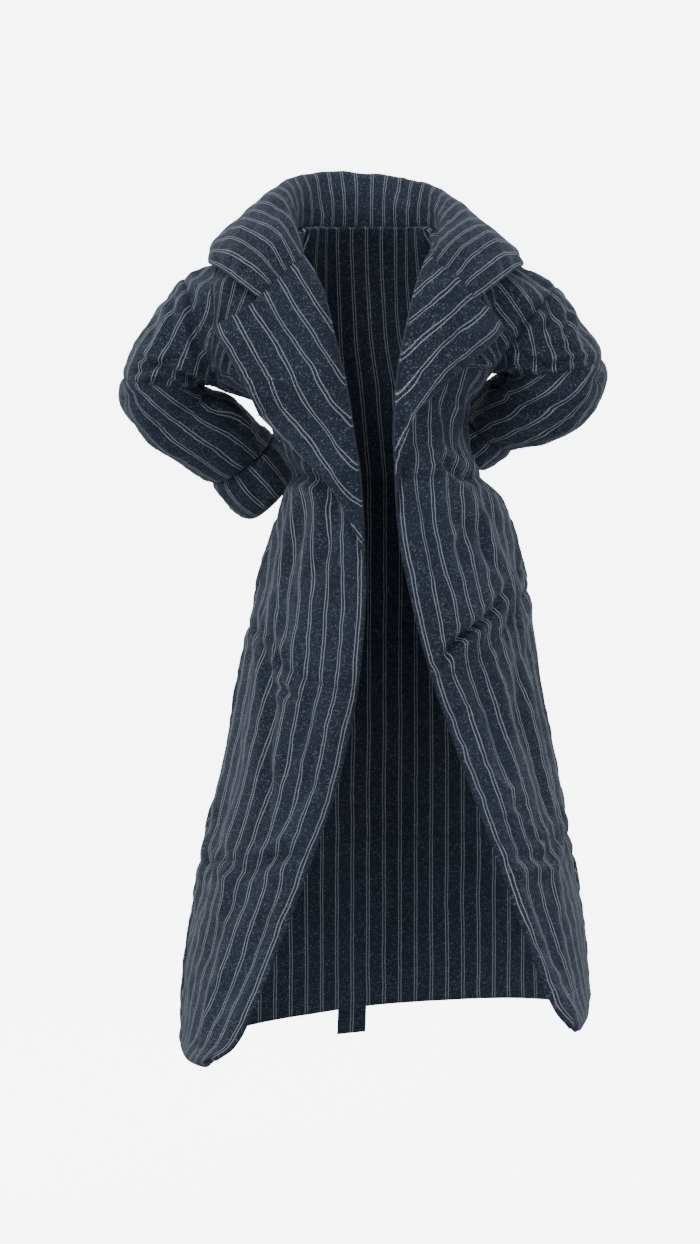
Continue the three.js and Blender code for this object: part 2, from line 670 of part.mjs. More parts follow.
// The collar as a function of its place round the neck, -1 to 1, and across from its seam to its leaf edge.
function collarSurface() {
  const lines = Object.entries(COLLAR_LINES).map(([line, outward]) => {
    const half = (side) =>
      COLLAR.map((row) => {
        const rise = side === 'right' ? row.rightUp : 0;
        const out = side === 'right' ? row.rightOut * outward : 0;
        return new THREE.Vector3(SIGN[side] * (row[`${line}X`] + out), row[`${line}Y`], row[`${line}Z`] + rise);
      });
    const points = [...half('right'), ...half('left').reverse().slice(1)];
    return new THREE.CatmullRomCurve3(points, false, 'centripetal');
  });
  return (round, across) => {
    const stops = lines.map((line) => line.getPoint(clamp((round + 1) / 2, 0, 1)));
    return new THREE.CatmullRomCurve3(stops, false, 'centripetal').getPoint(clamp(across, 0, 1));
  };
}

function addCollar() {
  const surface = collarSurface();
  const pointAt = (i, j) => {
    const round = -1 + (2 * i) / COLLAR_ROWS;
    const across = j / COLLAR_COLUMNS;
    const normal = normalOf(surface, round, across, 1, [-1, 1], [0, 1]);
    const swell = edgeSwell(across * 150) * edgeSwell((1 - across) * 150) * edgeSwell((1 - Math.abs(round)) * 300);
    const point = surface(round, across);
    const outer = point.clone().addScaledVector(normal, -COLLAR_PUFF * (1 - swell));
    const inner = point.clone().addScaledVector(normal, -COLLAR_PUFF - SEAM_WALL);
    return { outer, inner };
  };
  addPiece('collar', wallGeometry(wallRows(COLLAR_ROWS + 1, COLLAR_COLUMNS + 1, pointAt, true)));
}

// A point on the back's reference surface at an x, moved out along its own direction.
function onBack(x, height, lift) {
  const middle = (body.left(height) + body.right(height)) / 2;
  const halfWidth = (body.left(height) - body.right(height)) / 2;
  const across = Math.acos(clamp((middle - x) / halfWidth, -1, 1)) / Math.PI;
  const level = Math.max(height, QUILTING[0].back);
  const point = backRing(level, across).addScaledVector(bodyNormal('back', level, across), lift);
  point.z += height - level;
  return point;
}

// A strip laid over the back: "at" gives the x, the height and the lift of a share along and across it.
function addStrip(name, rowCount, columnCount, wall, at, reversed) {
  const pointAt = (i, j) => {
    const { x, height, lift } = at(i / rowCount, j / columnCount);
    return { outer: onBack(x, height, lift + wall), inner: onBack(x, height, lift) };
  };
  addPiece(name, wallGeometry(wallRows(rowCount + 1, columnCount + 1, pointAt, reversed)));
}

function addBelt() {
  const [start, finish] = BELT_REACH;
  addStrip('belt_band', 2, 24, BELT_WALL, (along, across) => ({
    x: lerp(start, finish, across),
    height: BELT_HEIGHT + BELT_WIDTH * (along - 0.5),
    lift: -BELT_SUNK,
  }), true);
  for (const [side, middle] of Object.entries(BELT_LOOPS)) {
    addStrip(`belt_loop_${side}`, 6, 1, LOOP_WALL, (along, across) => ({
      x: middle + LOOP_WIDTH * (across - 0.5),
      height: BELT_HEIGHT + LOOP_HALF_HEIGHT * (2 * along - 1),
      lift: LOOP_RISE * Math.sin(Math.PI * along) ** 0.5 - LOOP_SUNK,
    }), true);
  }
  addKnot();
  for (const [name, end] of Object.entries(HANGING_ENDS)) {
    addStrip(`belt_end_${name}`, 14, 2, BELT_WALL, (along, across) => ({
      x: lerp(end.endX, end.startX, along) + BELT_WIDTH * (across - 0.5),
      height: lerp(end.bottom, HANGING_TOP, along),
      lift: HANGING_GAP,
    }), true);
  }
}

// The half knot, a pillow of doubled belt with the crossing pressed in on the slant.
function addKnot() {
  const [width, height, thick] = KNOT_SIZE;
  const columns = 10;
  const rows = 8;
  const base = BELT_WALL - BELT_SUNK + 1.5;
  const pointAt = (i, j) => {
    const u = (2 * j) / columns - 1;
    const v = (2 * i) / rows - 1;
    const full = Math.sqrt(Math.max(1 - Math.abs(u) ** 3, 0) * Math.max(1 - Math.abs(v) ** 3, 0));
    const crossing = Math.exp(-(((u - v) / 0.28) ** 2));
    const x = KNOT_X + (width / 2) * u * (1 - 0.12 * v * v);
    const level = BELT_HEIGHT + (height / 2) * v * (1 - 0.12 * u * u);
    const inner = onBack(x, level, base);
    return { outer: onBack(x, level, base + 3 + (thick - 3) * full * (1 - 0.3 * crossing)), inner };
  };
  addPiece('belt_knot', wallGeometry(wallRows(rows + 1, columns + 1, pointAt, true)));
}

addPanel('back', 'back', BACK_COLUMNS);
addPanel('front_right', 'right', FRONT_COLUMNS);
addPanel('front_left', 'left', FRONT_COLUMNS);
for (const side of ['right', 'left']) {
  addSleeveStretch(`upper_sleeve_${side}`, side, 0, ELBOW_RING);
  addSleeveStretch(`lower_sleeve_${side}`, side, ELBOW_RING, CUFF_RING);
  addSleeveStretch(`cuff_${side}`, side, CUFF_RING, LAST_RING, CUFF_PROUD);
  addLapel(`lapel_${side}`, side);
}
addCollar();
addBelt();

export default coat;
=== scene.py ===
"""A long padded coat in pinstriped wool, worn open with both hands on the hips, dressed over its CAD frame.

All sizes in the tables are millimetres, in the frame's own axes: +X is the wearer's left, +Y the wearer's back
and +Z is up. The origin is the back of the neckline.
"""

import math
from functools import partialmethod

import bmesh
import bpy
import numpy as np
from bpy.props import FloatProperty, FloatVectorProperty
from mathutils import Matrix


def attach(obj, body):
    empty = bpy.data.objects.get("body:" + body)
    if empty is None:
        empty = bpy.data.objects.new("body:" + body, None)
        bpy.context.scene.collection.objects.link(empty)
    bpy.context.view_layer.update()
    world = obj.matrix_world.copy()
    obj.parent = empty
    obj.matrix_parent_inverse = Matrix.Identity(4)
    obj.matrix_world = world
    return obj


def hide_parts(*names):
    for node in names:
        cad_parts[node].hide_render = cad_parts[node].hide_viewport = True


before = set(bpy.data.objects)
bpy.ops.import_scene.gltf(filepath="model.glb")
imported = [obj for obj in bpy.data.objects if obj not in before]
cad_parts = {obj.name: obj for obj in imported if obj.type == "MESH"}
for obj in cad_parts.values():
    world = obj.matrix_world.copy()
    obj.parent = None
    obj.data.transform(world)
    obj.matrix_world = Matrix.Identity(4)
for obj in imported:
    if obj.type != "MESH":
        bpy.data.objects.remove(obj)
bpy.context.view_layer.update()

bl_info = {
    "name": "Long padded coat",
    "version": (1, 0, 0),
    "blender": (4, 2, 0),
    "location": "3D View > Sidebar > Coat",
    "description": "Cuts, pads and quilts a long pinstriped coat over its CAD frame",
    "category": "Add Mesh",
}

# The same walls, heights and seams as the CAD part.
SEAM_WALL = 4  # cloth and crushed filling at a line of sewing
BODY_PUFF = 10  # how far the padding swells past that
SLEEVE_PUFF = 8
COLLAR_PUFF = 9
EDGE_SWELL = 30  # the padding reaches its full loft this far in from an edge
LOWEST = -1240
UNDERARM = -247
NECKLINE = 0
SHOULDER_POINT = {"right": (-276, 8, -91), "left": (286, 8, -104)}
NECK_POINT = {"right": (-98, 5, -14), "left": (98, 5, -14)}
NECK_FRONT = {"right": (-100, -50, -44), "left": (99, -48, -42)}
BACK_NECK = (0, 78, 0)
BACK_NECK_TURN = (62, 58, -4)
ARMHOLE_DEPTH = 78
SHOULDER_ARCH = 7
BLADE_SWELL = 16
BACK_SHOULDER = 8 / 22
SIGN = {"right": -1, "left": 1, "back": -1}

# Typical sizes, for distances that are worked out from a share.
FRONT_WIDTH = 270
BACK_WIDTH = 600
YOKE_TALL = 250
SLEEVE_ROUND = 430

# How far each piece is cut, for the number of its faces: panels across, channels from the hem up, the rest both ways.
CUT_WIDTH = {"back": 760, "right": 330, "left": 330}
CHANNEL_TALL = (285, 320, 250, 145)
YOKE_CUT = 260
YOKE = 4  # the number of the uppermost channel
LAPEL_CUT = (390, 130)
COLLAR_CUT = (900, 190)

# The cloth that settles: the side of its faces on the body and the sleeves, its rows and columns on the rest, how
# much larger it is cut, and for each kind of piece the filling's pressure and the farthest that it moves the cloth.
BODY_COARSE = 10.5
SLEEVE_COARSE = 10
SLEEVE_COARSE_ROUND = 44
LAPEL_COARSE = (40, 14)
COLLAR_COARSE = (86, 20)
GROWTH = 0.05
BODY_LOFT = (2.2, 7.0)
SLEEVE_LOFT = (1.5, 4.0)
COLLAR_LOFT = (2.0, 4.5)


def table(columns, rows):
    """Rows of numbers as one array for each named column."""
    return dict(zip(columns.split(), np.array(rows, float).T))


# The coat's outline, from the hem up. Under the arms it lies a few millimetres inside the solids.
BODY = table("height right left sideY backY tilt", [
    (-1217, -287, 343, 30, 205, 0.083),
    (-1130, -282, 338, 30, 200, 0.074),
    (-1035, -270, 325, 30, 190, 0.065),
    (-940, -255, 309, 28, 178, 0.055),
    (-820, -225, 290, 26, 165, 0.043),
    (-675, -199, 264, 24, 150, 0.028),
    (-560, -173, 250, 22, 140, 0.016),
    (-480, -150, 226, 20, 130, 0.008),
    (-415, -127, 200, 20, 116, 0),
    (-388, -120, 177, 20, 106, 0),
    (-340, -136, 158, 18, 112, 0),
    (-285, -160, 158, 14, 122, 0.02),
    (UNDERARM, -227, 188, 10, 128, 0.055),
])

# The front edge from the hem to the break point, then the lapel's roll line up to the gorge.
FRONT_EDGE = table("height right left y", [
    (-1217, -226, 296, -200),
    (-1192, -197, 281, -198),
    (-1130, -165, 254, -193),
    (-1035, -123, 220, -182),
    (-940, -84, 186, -170),
    (-820, -42, 141, -160),
    (-675, -14, 91, -150),
    (-560, -6, 61, -143),
    (-480, -9, 46, -140),
    (-410, -14, 41, -141),
    (-342, -23, 40, -142),
    (UNDERARM, -36, 47, -142),
    (-199, -48, 55, -140),
    (-132, -64, 69, -134),
    (-100, -78, 79, -122),
    (-76, -92, 88, -110),
])

# The lines of quilting, at the right front edge, right side, back, left side and left front edge.
QUILTING = np.array([
    (-1224, -1232, -1217, -1217, -1217),
    (-935, -955, -950, -945, -935),
    (-705, -610, -640, -565, -690),
    (-400, -388, -392, -388, -400),
    (UNDERARM, UNDERARM, UNDERARM, UNDERARM, UNDERARM),
], float)
QUILTING_DEPTH = (10, 6, 7, 8, 0)  # how far each line is drawn in, from the hem up
YOKE_LEAN = {"right": 0.75, "left": 1.9}  # how far the stripes of the yoke lean for each millimetre up

# The body's largest folds: place round the coat, lean, top, bottom, width and depth.
BODY_FOLDS = (
    (0.205, 0.00002, -430, -1000, 0.03, 13),
    (0.12, -0.00004, -420, -760, 0.03, 8),
    (0.31, -0.00003, -420, -1100, 0.035, 12),
    (0.375, -0.00001, -410, -900, 0.03, 10),
    (0.44, 0, -410, -1217, 0.035, 12),
    (0.5, 0.00001, -410, -820, 0.03, 9),
    (0.56, 0.00002, -410, -1120, 0.035, 12),
    (0.63, 0.00001, -410, -930, 0.03, 9),
    (0.69, 0.00003, -420, -1217, 0.035, 12),
    (0.79, -0.00002, -480, -960, 0.03, 12),
    (0.88, 0.00003, -420, -660, 0.03, 7),
)

# Each sleeve's rings from the armhole to the end of the cuff.
SLEEVE = {
    "right": table("outX outZ inX inZ y deep", [
        (-306, -128, -237, -252, 10, 77),
        (-328, -163, -244, -249, 14, 76),
        (-353, -200, -250, -250, 18, 74),
        (-369, -239, -254, -254, 22, 72),
        (-371, -277, -251, -260, 28, 70),
        (-354, -305, -235, -263, 40, 68),
        (-331, -334, -208, -270, 55, 65),
        (-297, -355, -188, -282, 76, 62),
        (-266, -375, -169, -296, 97, 59),
        (-240, -396, -146, -316, 118, 55),
        (-210, -429, -125, -350, 130, 52),
        (-178, -451, -108, -378, 138, 50),
    ]),
    "left": table("outX outZ inX inZ y deep", [
        (304, -131, 198, -235, 10, 77),
        (322, -157, 203, -231, 14, 76),
        (339, -180, 209, -231, 18, 74),
        (356, -211, 212, -235, 22, 72),
        (361, -241, 209, -240, 28, 70),
        (353, -268, 201, -244, 40, 68),
        (333, -297, 189, -246, 55, 65),
        (300, -316, 176, -250, 76, 62),
        (263, -328, 166, -256, 97, 59),
        (227, -342, 156, -268, 115, 55),
        (200, -357, 138, -281, 129, 52),
        (178, -375, 116, -296, 138, 50),
    ]),
}
ELBOW_RING = 4
CUFF_RING = 10
LAST_RING = 12
CUFF_PROUD = 3
UPPER_GRAIN = {"right": (-0.45, 0.0, -0.893), "left": (0.2, 0.0, -0.98)}  # the way the stripes run down

# The lapels: the free edge from the break point up to the tip, and where the gorge seam ends. The tip reaches out
# a little further, and the edge stands further off the front, than in the solids.
LAPEL = {
    "right": {
        "edge": ((-10, -508), (-23, -462), (-41, -425), (-74, -383),
                 (-102, -354), (-151, -297), (-193, -226), (-220, -184)),
        "gorge_end": (-155, -148),
        "break_height": -520,
    },
    "left": {
        "edge": ((43, -437), (45, -407), (52, -350), (64, -311), (100, -273), (148, -228), (197, -182)),
        "gorge_end": (152, -140),
        "break_height": -450,
    },
}
# The line beside which each lapel's stripes run.
LAPEL_GRAIN = {
    "right": ((-303, -96), (-237, -198), (-60, -475), (10, -584)),
    "left": ((262, -156), (209, -198), (122, -274), (82, -345), (68, -430), (66, -560)),
}
LAPEL_WALL = 11
LAPEL_ROLL_LIFT = 1.2
LAPEL_EDGE_LIFT = 25

# The collar, from the notch round to the middle of the back.
COLLAR = table("baseX baseY baseZ rollX rollY rollZ fallX fallY fallZ leafX leafY leafZ rightUp rightOut", [
    (156, -150, -143, 178, -140, -124, 203, -118, -102, 230, -84, -76, 2, 6),
    (124, -144, -108, 152, -124, -80, 188, -86, -54, 232, -24, -62, 10, 8),
    (93, -125.5, -70, 128, -86, -34, 168, -26, -16, 226, 50, -66, 16, 9),
    (95, -52, -40, 120, -40, 4, 150, 16, 12, 206, 100, -66, 18, 8),
    (92, 6, -15, 108, 18, 40, 134, 70, 24, 160, 134, -78, 18, 5),
    (56, 52, -5, 68, 66, 68, 83, 114, 48, 94, 158, -92, 10, 3),
    (0, 68, -3, 0, 84, 82, 0, 134, 56, 0, 170, -98, 0, 0),
])
COLLAR_LINES = {"base": 0, "roll": 0.3, "fall": 0.6, "leaf": 1}

# The tie belt.
BELT_WIDTH = 44
BELT_HEIGHT = -392
BELT_REACH = (-100, 140)
BELT_LOOPS = {"right": -72, "left": 104}
KNOT_X = 15
HANGING_ENDS = {
    "long": {"start_x": -8, "end_x": -26, "bottom": -1262},
    "short": {"start_x": 40, "end_x": 58, "bottom": -742},
}
HANGING_TOP = -417.8
BELT_WALL = 3.6
LOOP_LONG, LOOP_WIDE, LOOP_WALL, LOOP_RISE = 68, 12, 2, 5.5
ALL_SIDES = "start finish bottom top"


def lerp(a, b, t):
    return a + (b - a) * t


def smoothstep(x, low, high):
    t = np.clip((np.asarray(x, float) - low) / (high - low), 0, 1)
    return t * t * (3 - 2 * t)


def unit(v):
    return v / np.maximum(np.linalg.norm(v, axis=-1, keepdims=True), 1e-12)


def bell(distance, width):
    """1 at no distance, and falling off as a bell curve of that width."""
    return np.exp(-((distance / width) ** 2))


def xyz(x, y, z):
    return np.stack(np.broadcast_arrays(np.asarray(x, float), y, z), -1)


def smooth_column(x, y):
    """A table's column as a smooth function of its key, with no overshoot between the rows."""
    slope = np.diff(y) / np.diff(x)
    before, after = np.r_[slope[0], slope], np.r_[slope, slope[-1]]
    total = np.where(before + after == 0, 1, before + after)
    tangent = np.where(before * after <= 0, 0, 2 * before * after / total)

    def at(value):
        value = np.clip(value, x[0], x[-1])
        k = np.clip(np.searchsorted(x, value) - 1, 0, len(x) - 2)
        span = x[k + 1] - x[k]
        t = (value - x[k]) / span
        t2, t3 = t * t, t * t * t
        return ((2 * t3 - 3 * t2 + 1) * y[k] + (t3 - 2 * t2 + t) * span * tangent[k]
                + (3 * t2 - 2 * t3) * y[k + 1] + (t3 - t2) * span * tangent[k + 1])

    return at


def smooth_columns(rows):
    return {name: smooth_column(rows["height"], rows[name]) for name in rows if name != "height"}


body = smooth_columns(BODY)
front_edge = smooth_columns(FRONT_EDGE)


def spline(points, share):
    """A point on a centripetal Catmull-Rom curve at an even share of its spans. Each of the points may be a grid."""
    points = np.stack([np.asarray(p, float) for p in points])
    count = len(points)
    points = np.concatenate([2 * points[:1] - points[1:2], points, 2 * points[-1:] - points[-2:-1]])
    share = np.clip(np.asarray(share, float), 0, 1) * (count - 1)
    k = np.minimum(share.astype(int), count - 2)
    t = (share - k)[..., None]
    if points.ndim == 2:
        p0, p1, p2, p3 = (points[k + n] for n in range(4))
    else:
        rest = np.indices(k.shape)
        p0, p1, p2, p3 = (points[(k + n, *rest)] for n in range(4))
    gaps = ((p0, p1), (p1, p2), (p2, p3))
    d0, d1, d2 = (np.maximum(np.linalg.norm(b - a, axis=-1, keepdims=True) ** 0.5, 1e-4) for a, b in gaps)
    start = ((p1 - p0) / d0 - (p2 - p0) / (d0 + d1) + (p2 - p1) / d1) * d1
    finish = ((p2 - p1) / d1 - (p3 - p1) / (d1 + d2) + (p3 - p2) / d2) * d1
    return p1 + start * t + (3 * (p2 - p1) - 2 * start - finish) * t**2 + (2 * (p1 - p2) + start + finish) * t**3


def curve(points):
    """A smooth curve through points, read by the share of its length."""
    points = [np.asarray(p, float) for p in points]
    even = np.linspace(0, 1, 201)
    path = spline(points, even)
    length = np.r_[0, np.cumsum(np.linalg.norm(np.diff(path, axis=0), axis=-1))]
    return lambda share: spline(points, np.interp(np.clip(share, 0, 1) * length[-1], length, even))


def patch(bottom, top, start, finish, reach=1):
    """A surface between four edges: bottom and top run across, start and finish run up."""
    a, b, c, d = bottom(0.0), bottom(1.0), top(0.0), top(1.0)

    def at(u, v):
        s, t = u[..., None], v[..., None]
        point = bottom(u) * (1 - t) + top(u) * t
        point = point + (start(v) - a * (1 - t) - c * t) * (1 - s) ** reach
        return point + (finish(v) - b * (1 - t) - d * t) * s**reach

    return at


def body_width(height):
    """The middle of the body and half of its width."""
    right, left = body["right"](height), body["left"](height)
    return (left + right) / 2, (left - right) / 2


def front_ring(side, height, across):
    """The front of the coat at one height: across is 0 at the front edge and 1 at the side seam."""
    middle, half = body_width(height)
    turn = np.arccos(np.clip(SIGN[side] * (front_edge[side](height) - middle) / half, -1, 1))
    depth = (body["sideY"](height) - front_edge["y"](height)) / np.sin(turn)
    angle = (1 - across) * turn
    x = middle + SIGN[side] * half * np.cos(angle)
    return xyz(x, body["sideY"](height) - depth * np.sin(angle), height + body["tilt"](height) * x)


def back_ring(height, across):
    """The back at one height: across is 0 at the right side seam and 1 at the left one."""
    middle, half = body_width(height)
    x = middle - half * np.cos(np.pi * across)
    y = lerp(body["sideY"](height), body["backY"](height), np.sin(np.pi * across))
    return xyz(x, y, height + body["tilt"](height) * x)


def armhole(side, angle):
    """The armhole by its angle: 0 at the shoulder, a quarter turn at the front, half at the underarm."""
    top = np.array(SHOULDER_POINT[side], float)
    bottom = front_ring(side, np.float64(UNDERARM), 1.0)
    angle = np.asarray(angle, float)
    point = (top + bottom) / 2 + (top - bottom) / 2 * np.cos(angle)[..., None]
    return point - xyz(0, ARMHOLE_DEPTH * np.sin(angle), 0)


def armhole_normal(side, angle):
    """The wall's direction at the armhole, square to it and turned outward under the arm."""
    up = armhole(side, 0.0) - armhole(side, np.pi)
    half = np.linalg.norm(up) / 2
    normal = up / (2 * half) * (np.cos(angle) / half)[..., None] - xyz(0, np.sin(angle) / ARMHOLE_DEPTH, 0)
    normal = unit(normal) + xyz(SIGN[side] * 0.8 * (0.5 - 0.5 * np.cos(angle)) ** 2, 0, 0)
    return unit(normal)


def shoulder_seam(side):
    inner, outer = np.array(NECK_POINT[side], float), np.array(SHOULDER_POINT[side], float)
    return [inner, (inner + outer) / 2 + (0, 0, SHOULDER_ARCH), outer]


def shoulder_normal(side, share):
    """The wall's direction at the shoulder seam, square to it from the neck outward."""
    seam = curve(shoulder_seam(side))
    along = unit(seam(np.minimum(share + 0.02, 1)) - seam(np.maximum(share - 0.02, 0)))
    return xyz(-along[..., 2], 0, along[..., 0]) * SIGN[side]


def front_yoke(side):
    """The front above the underarm, between the roll line, the shoulder seam and the armhole."""
    rows = [k for k, height in enumerate(FRONT_EDGE["height"]) if height > UNDERARM]
    roll = [(FRONT_EDGE[side][k], FRONT_EDGE["y"][k], FRONT_EDGE["height"][k]) for k in rows]
    level = np.float64(UNDERARM)
    neck = curve([front_ring(side, level, 0.0), *roll, NECK_FRONT[side], NECK_POINT[side]])
    return patch(lambda u: front_ring(side, level, np.asarray(u, float)), curve(shoulder_seam(side)), neck,
                 lambda v: armhole(side, np.pi * (1 - v)))


def back_yoke():
    """The back above the underarm, between the armholes, the shoulder seams and the neckline."""
    x, y, z = BACK_NECK_TURN
    neckline = curve([NECK_POINT["right"], (-x, y, z), BACK_NECK, BACK_NECK_TURN, NECK_POINT["left"]])
    right, left = curve(shoulder_seam("right")), curve(shoulder_seam("left"))

    def top(u):
        u = np.asarray(u, float)[..., None]
        share = u[..., 0]
        middle = neckline((share - BACK_SHOULDER) / (1 - 2 * BACK_SHOULDER))
        point = np.where(u < BACK_SHOULDER, right(1 - share / BACK_SHOULDER), middle)
        return np.where(u > 1 - BACK_SHOULDER, left(1 - (1 - share) / BACK_SHOULDER), point)

    level = np.float64(UNDERARM)
    return patch(lambda u: back_ring(level, np.asarray(u, float)), top, lambda v: armhole("right", np.pi * (1 + v)),
                 lambda v: armhole("left", np.pi * (1 + v)), 3)


yoke = {"right": front_yoke("right"), "left": front_yoke("left"), "back": back_yoke()}


def body_point(panel, height, across):
    """A point on a panel: its height runs to UNDERARM along the rings, and on to NECKLINE over the yoke."""
    height, across = np.broadcast_arrays(np.asarray(height, float), np.asarray(across, float))
    low = np.minimum(height, UNDERARM)
    ring = back_ring(low, across) if panel == "back" else front_ring(panel, low, across)
    up = np.clip((height - UNDERARM) / (NECKLINE - UNDERARM), 0, 1)
    high = yoke[panel](across, up)
    if panel == "back":
        high = high + xyz(0, BLADE_SWELL * np.sin(np.pi * across) * np.sin(np.pi * up), 0)
    return np.where((height <= UNDERARM)[..., None], ring, high)


def normal_of(surface, u, v, turn, u_range, v_range, step=1e-3):
    """The outward normal of a surface that is given as a function of two values."""
    du, dv = step * (u_range[1] - u_range[0]), step * (v_range[1] - v_range[0])
    along_u = surface(np.minimum(u + du, u_range[1]), v) - surface(np.maximum(u - du, u_range[0]), v)
    along_v = surface(u, np.minimum(v + dv, v_range[1])) - surface(u, np.maximum(v - dv, v_range[0]))
    return unit(np.cross(along_u, along_v)) * turn


def body_normal(panel, height, across):
    return normal_of(lambda u, v: body_point(panel, v, u), across, height, SIGN[panel], (0, 1), (LOWEST, NECKLINE))


def round_coat(panel, across):
    """How far round the coat a point lies, from 0 at the right front edge to 1 at the left one."""
    if panel == "right":
        return across / 4
    return 0.25 + across / 2 if panel == "back" else 1 - across / 4


def quilting_height(line, place):
    """The height of a line of quilting at a place round the coat."""
    stop = np.minimum((place * 4).astype(int), 3)
    share = smoothstep(place * 4 - stop, 0, 1)
    return lerp(QUILTING[line][stop], QUILTING[line][stop + 1], share)


def edge_swell(distance):
    """The share of the full loft at a distance from an edge."""
    return 1 - (1 - np.clip(distance / EDGE_SWELL, 0, 1)) ** 2


def fold_depth(place, height):
    total = 0
    for middle, lean, top, bottom, width, depth in BODY_FOLDS:
        across = bell(place - middle - lean * (height - top), width)
        fade = smoothstep(height, bottom - 90, bottom + 60) * (1 - smoothstep(height, top - 60, top))
        total = total + depth * across * fade
    return total


def ripple(x, y, seed, wave, octaves=3):
    """Smooth uneven hills and hollows from -1 to 1, made of crossing waves."""
    rng = np.random.default_rng(seed)
    total, weight = 0, 0
    for octave in range(octaves):
        size = wave / 1.7**octave
        for _ in range(4):
            angle, phase = rng.uniform(0, 2 * np.pi, 2)
            k = 2 * np.pi / (size * rng.uniform(0.75, 1.35))
            part = 0.6**octave
            total = total + part * np.sin(k * (x * np.cos(angle) + y * np.sin(angle)) + phase)
            weight += part
    return total / weight * 1.9


def beside(path, x, z):
    """A path seen from the front: the distance to it, how far along it the nearest point lies, on which side of it
    the place is, and its length."""
    nearest, length_at, side, done = np.full(np.shape(x), 1e9), np.zeros(np.shape(x)), np.zeros(np.shape(x)), 0
    for (ax, az), (bx, bz) in zip(path[:-1], path[1:]):
        length = math.hypot(bx - ax, bz - az)
        tx, tz = (bx - ax) / length, (bz - az) / length
        t = np.clip((x - ax) * tx + (z - az) * tz, 0, length)
        ox, oz = x - ax - t * tx, z - az - t * tz
        distance = np.hypot(ox, oz)
        closer = distance < nearest
        nearest = np.where(closer, distance, nearest)
        length_at = np.where(closer, done + t, length_at)
        side = np.where(closer, np.sign(tx * oz - tz * ox), side)
        done += length
    return nearest, length_at, side, done


def crease_field(x, z, creases):
    """How deep the creases cut at each place, and how far they drag the stripes to the side."""
    depth, slip = np.zeros(np.shape(x)), np.zeros(np.shape(x))
    for width, deep, drag, *path in creases:
        nearest, length_at, across, total = beside(path, x, z)
        fade = np.sin(np.pi * np.clip(length_at / total, 0, 1)) ** 0.6
        shape = bell(nearest, width) - 0.42 * bell(nearest - 2.1 * width, 1.2 * width)
        depth = depth + deep * fade * shape
        slip = slip + drag * fade * across * bell(nearest, 2.4 * width) * np.tanh(nearest / width)
    return depth, slip


# Creases: width, depth, how far they drag the stripes, and their path, as x and z seen from the front.
FRONT_CREASES = [
    (9, 7, 3, (-83, -378), (-68, -407), (-57, -440), (-49, -483)),
    (6, 6, 3, (-116, -390), (-88, -402), (-64, -411)),
    (8, 5, 2, (-183, -264), (-164, -297), (-145, -330), (-126, -364)),
    (11, 5, 3, (-59, -440), (-68, -507), (-88, -574)),
    (11, 6, 4, (-95, -411), (-111, -474), (-126, -545)),
    (7, 10, 5, (103, -366), (132, -388), (163, -400)),
    (9, 7, 4, (161, -400), (184, -431), (208, -478), (223, -531)),
    (9, 6, 3, (122, -452), (153, -473), (137, -497), (142, -536)),
    (10, 5, 4, (60, -392), (82, -435), (99, -493), (103, -550)),
    (8, 4, 3, (165, -454), (180, -502), (213, -550)),
    (8, 5, 3, (94, -268), (122, -316), (127, -364)),
    (8, 5, 3, (146, -249), (151, -302), (142, -354)),
    (7, 11, 5, (79, -678), (110, -670), (128, -638), (158, -616), (191, -591), (222, -550)),
    (5, 6, 3, (107, -656), (133, -632), (166, -609)),
    (9, 8, 1.5, (-161, -609), (-159, -665), (-147, -736), (-153, -807), (-148, -858), (-157, -924)),
    (6, 7, 2, (-150, -700), (-127, -711), (-99, -722)),
    (6, 5, 1.5, (-147, -624), (-132, -690), (-127, -716)),
    (8, 4, 3, (-229, -927), (-204, -968), (-180, -972), (-140, -948), (-96, -930)),
    (11, 8, 4, (207, -578), (235, -655), (229, -736), (255, -838), (283, -924)),
    (8, 6, 3, (283, -924), (260, -951), (224, -945), (184, -955)),
    (12, 5, 4, (-254, -1118), (-223, -1062), (-198, -1006)),
    (12, 5, 4, (-223, -1184), (-183, -1113), (-147, -1031), (-111, -980)),
    (12, 5, 4, (224, -980), (260, -1057), (285, -1143)),
    (10, 5, 4, (-101, -639), (-83, -695), (-96, -777), (-127, -838)),
    (9, 4, 3, (-66, -736), (-76, -807), (-106, -879)),
    (10, 4, 3, (-198, -787), (-206, -848), (-223, -909)),
    (10, 5, 3, (158, -685), (189, -767), (199, -848)),
    (9, 4, 3, (250, -777), (265, -848), (255, -909)),
    (9, 4, 3, (128, -736), (158, -807), (189, -889)),
    (8, 4, 3, (189, -970), (214, -1031), (255, -1082)),
]
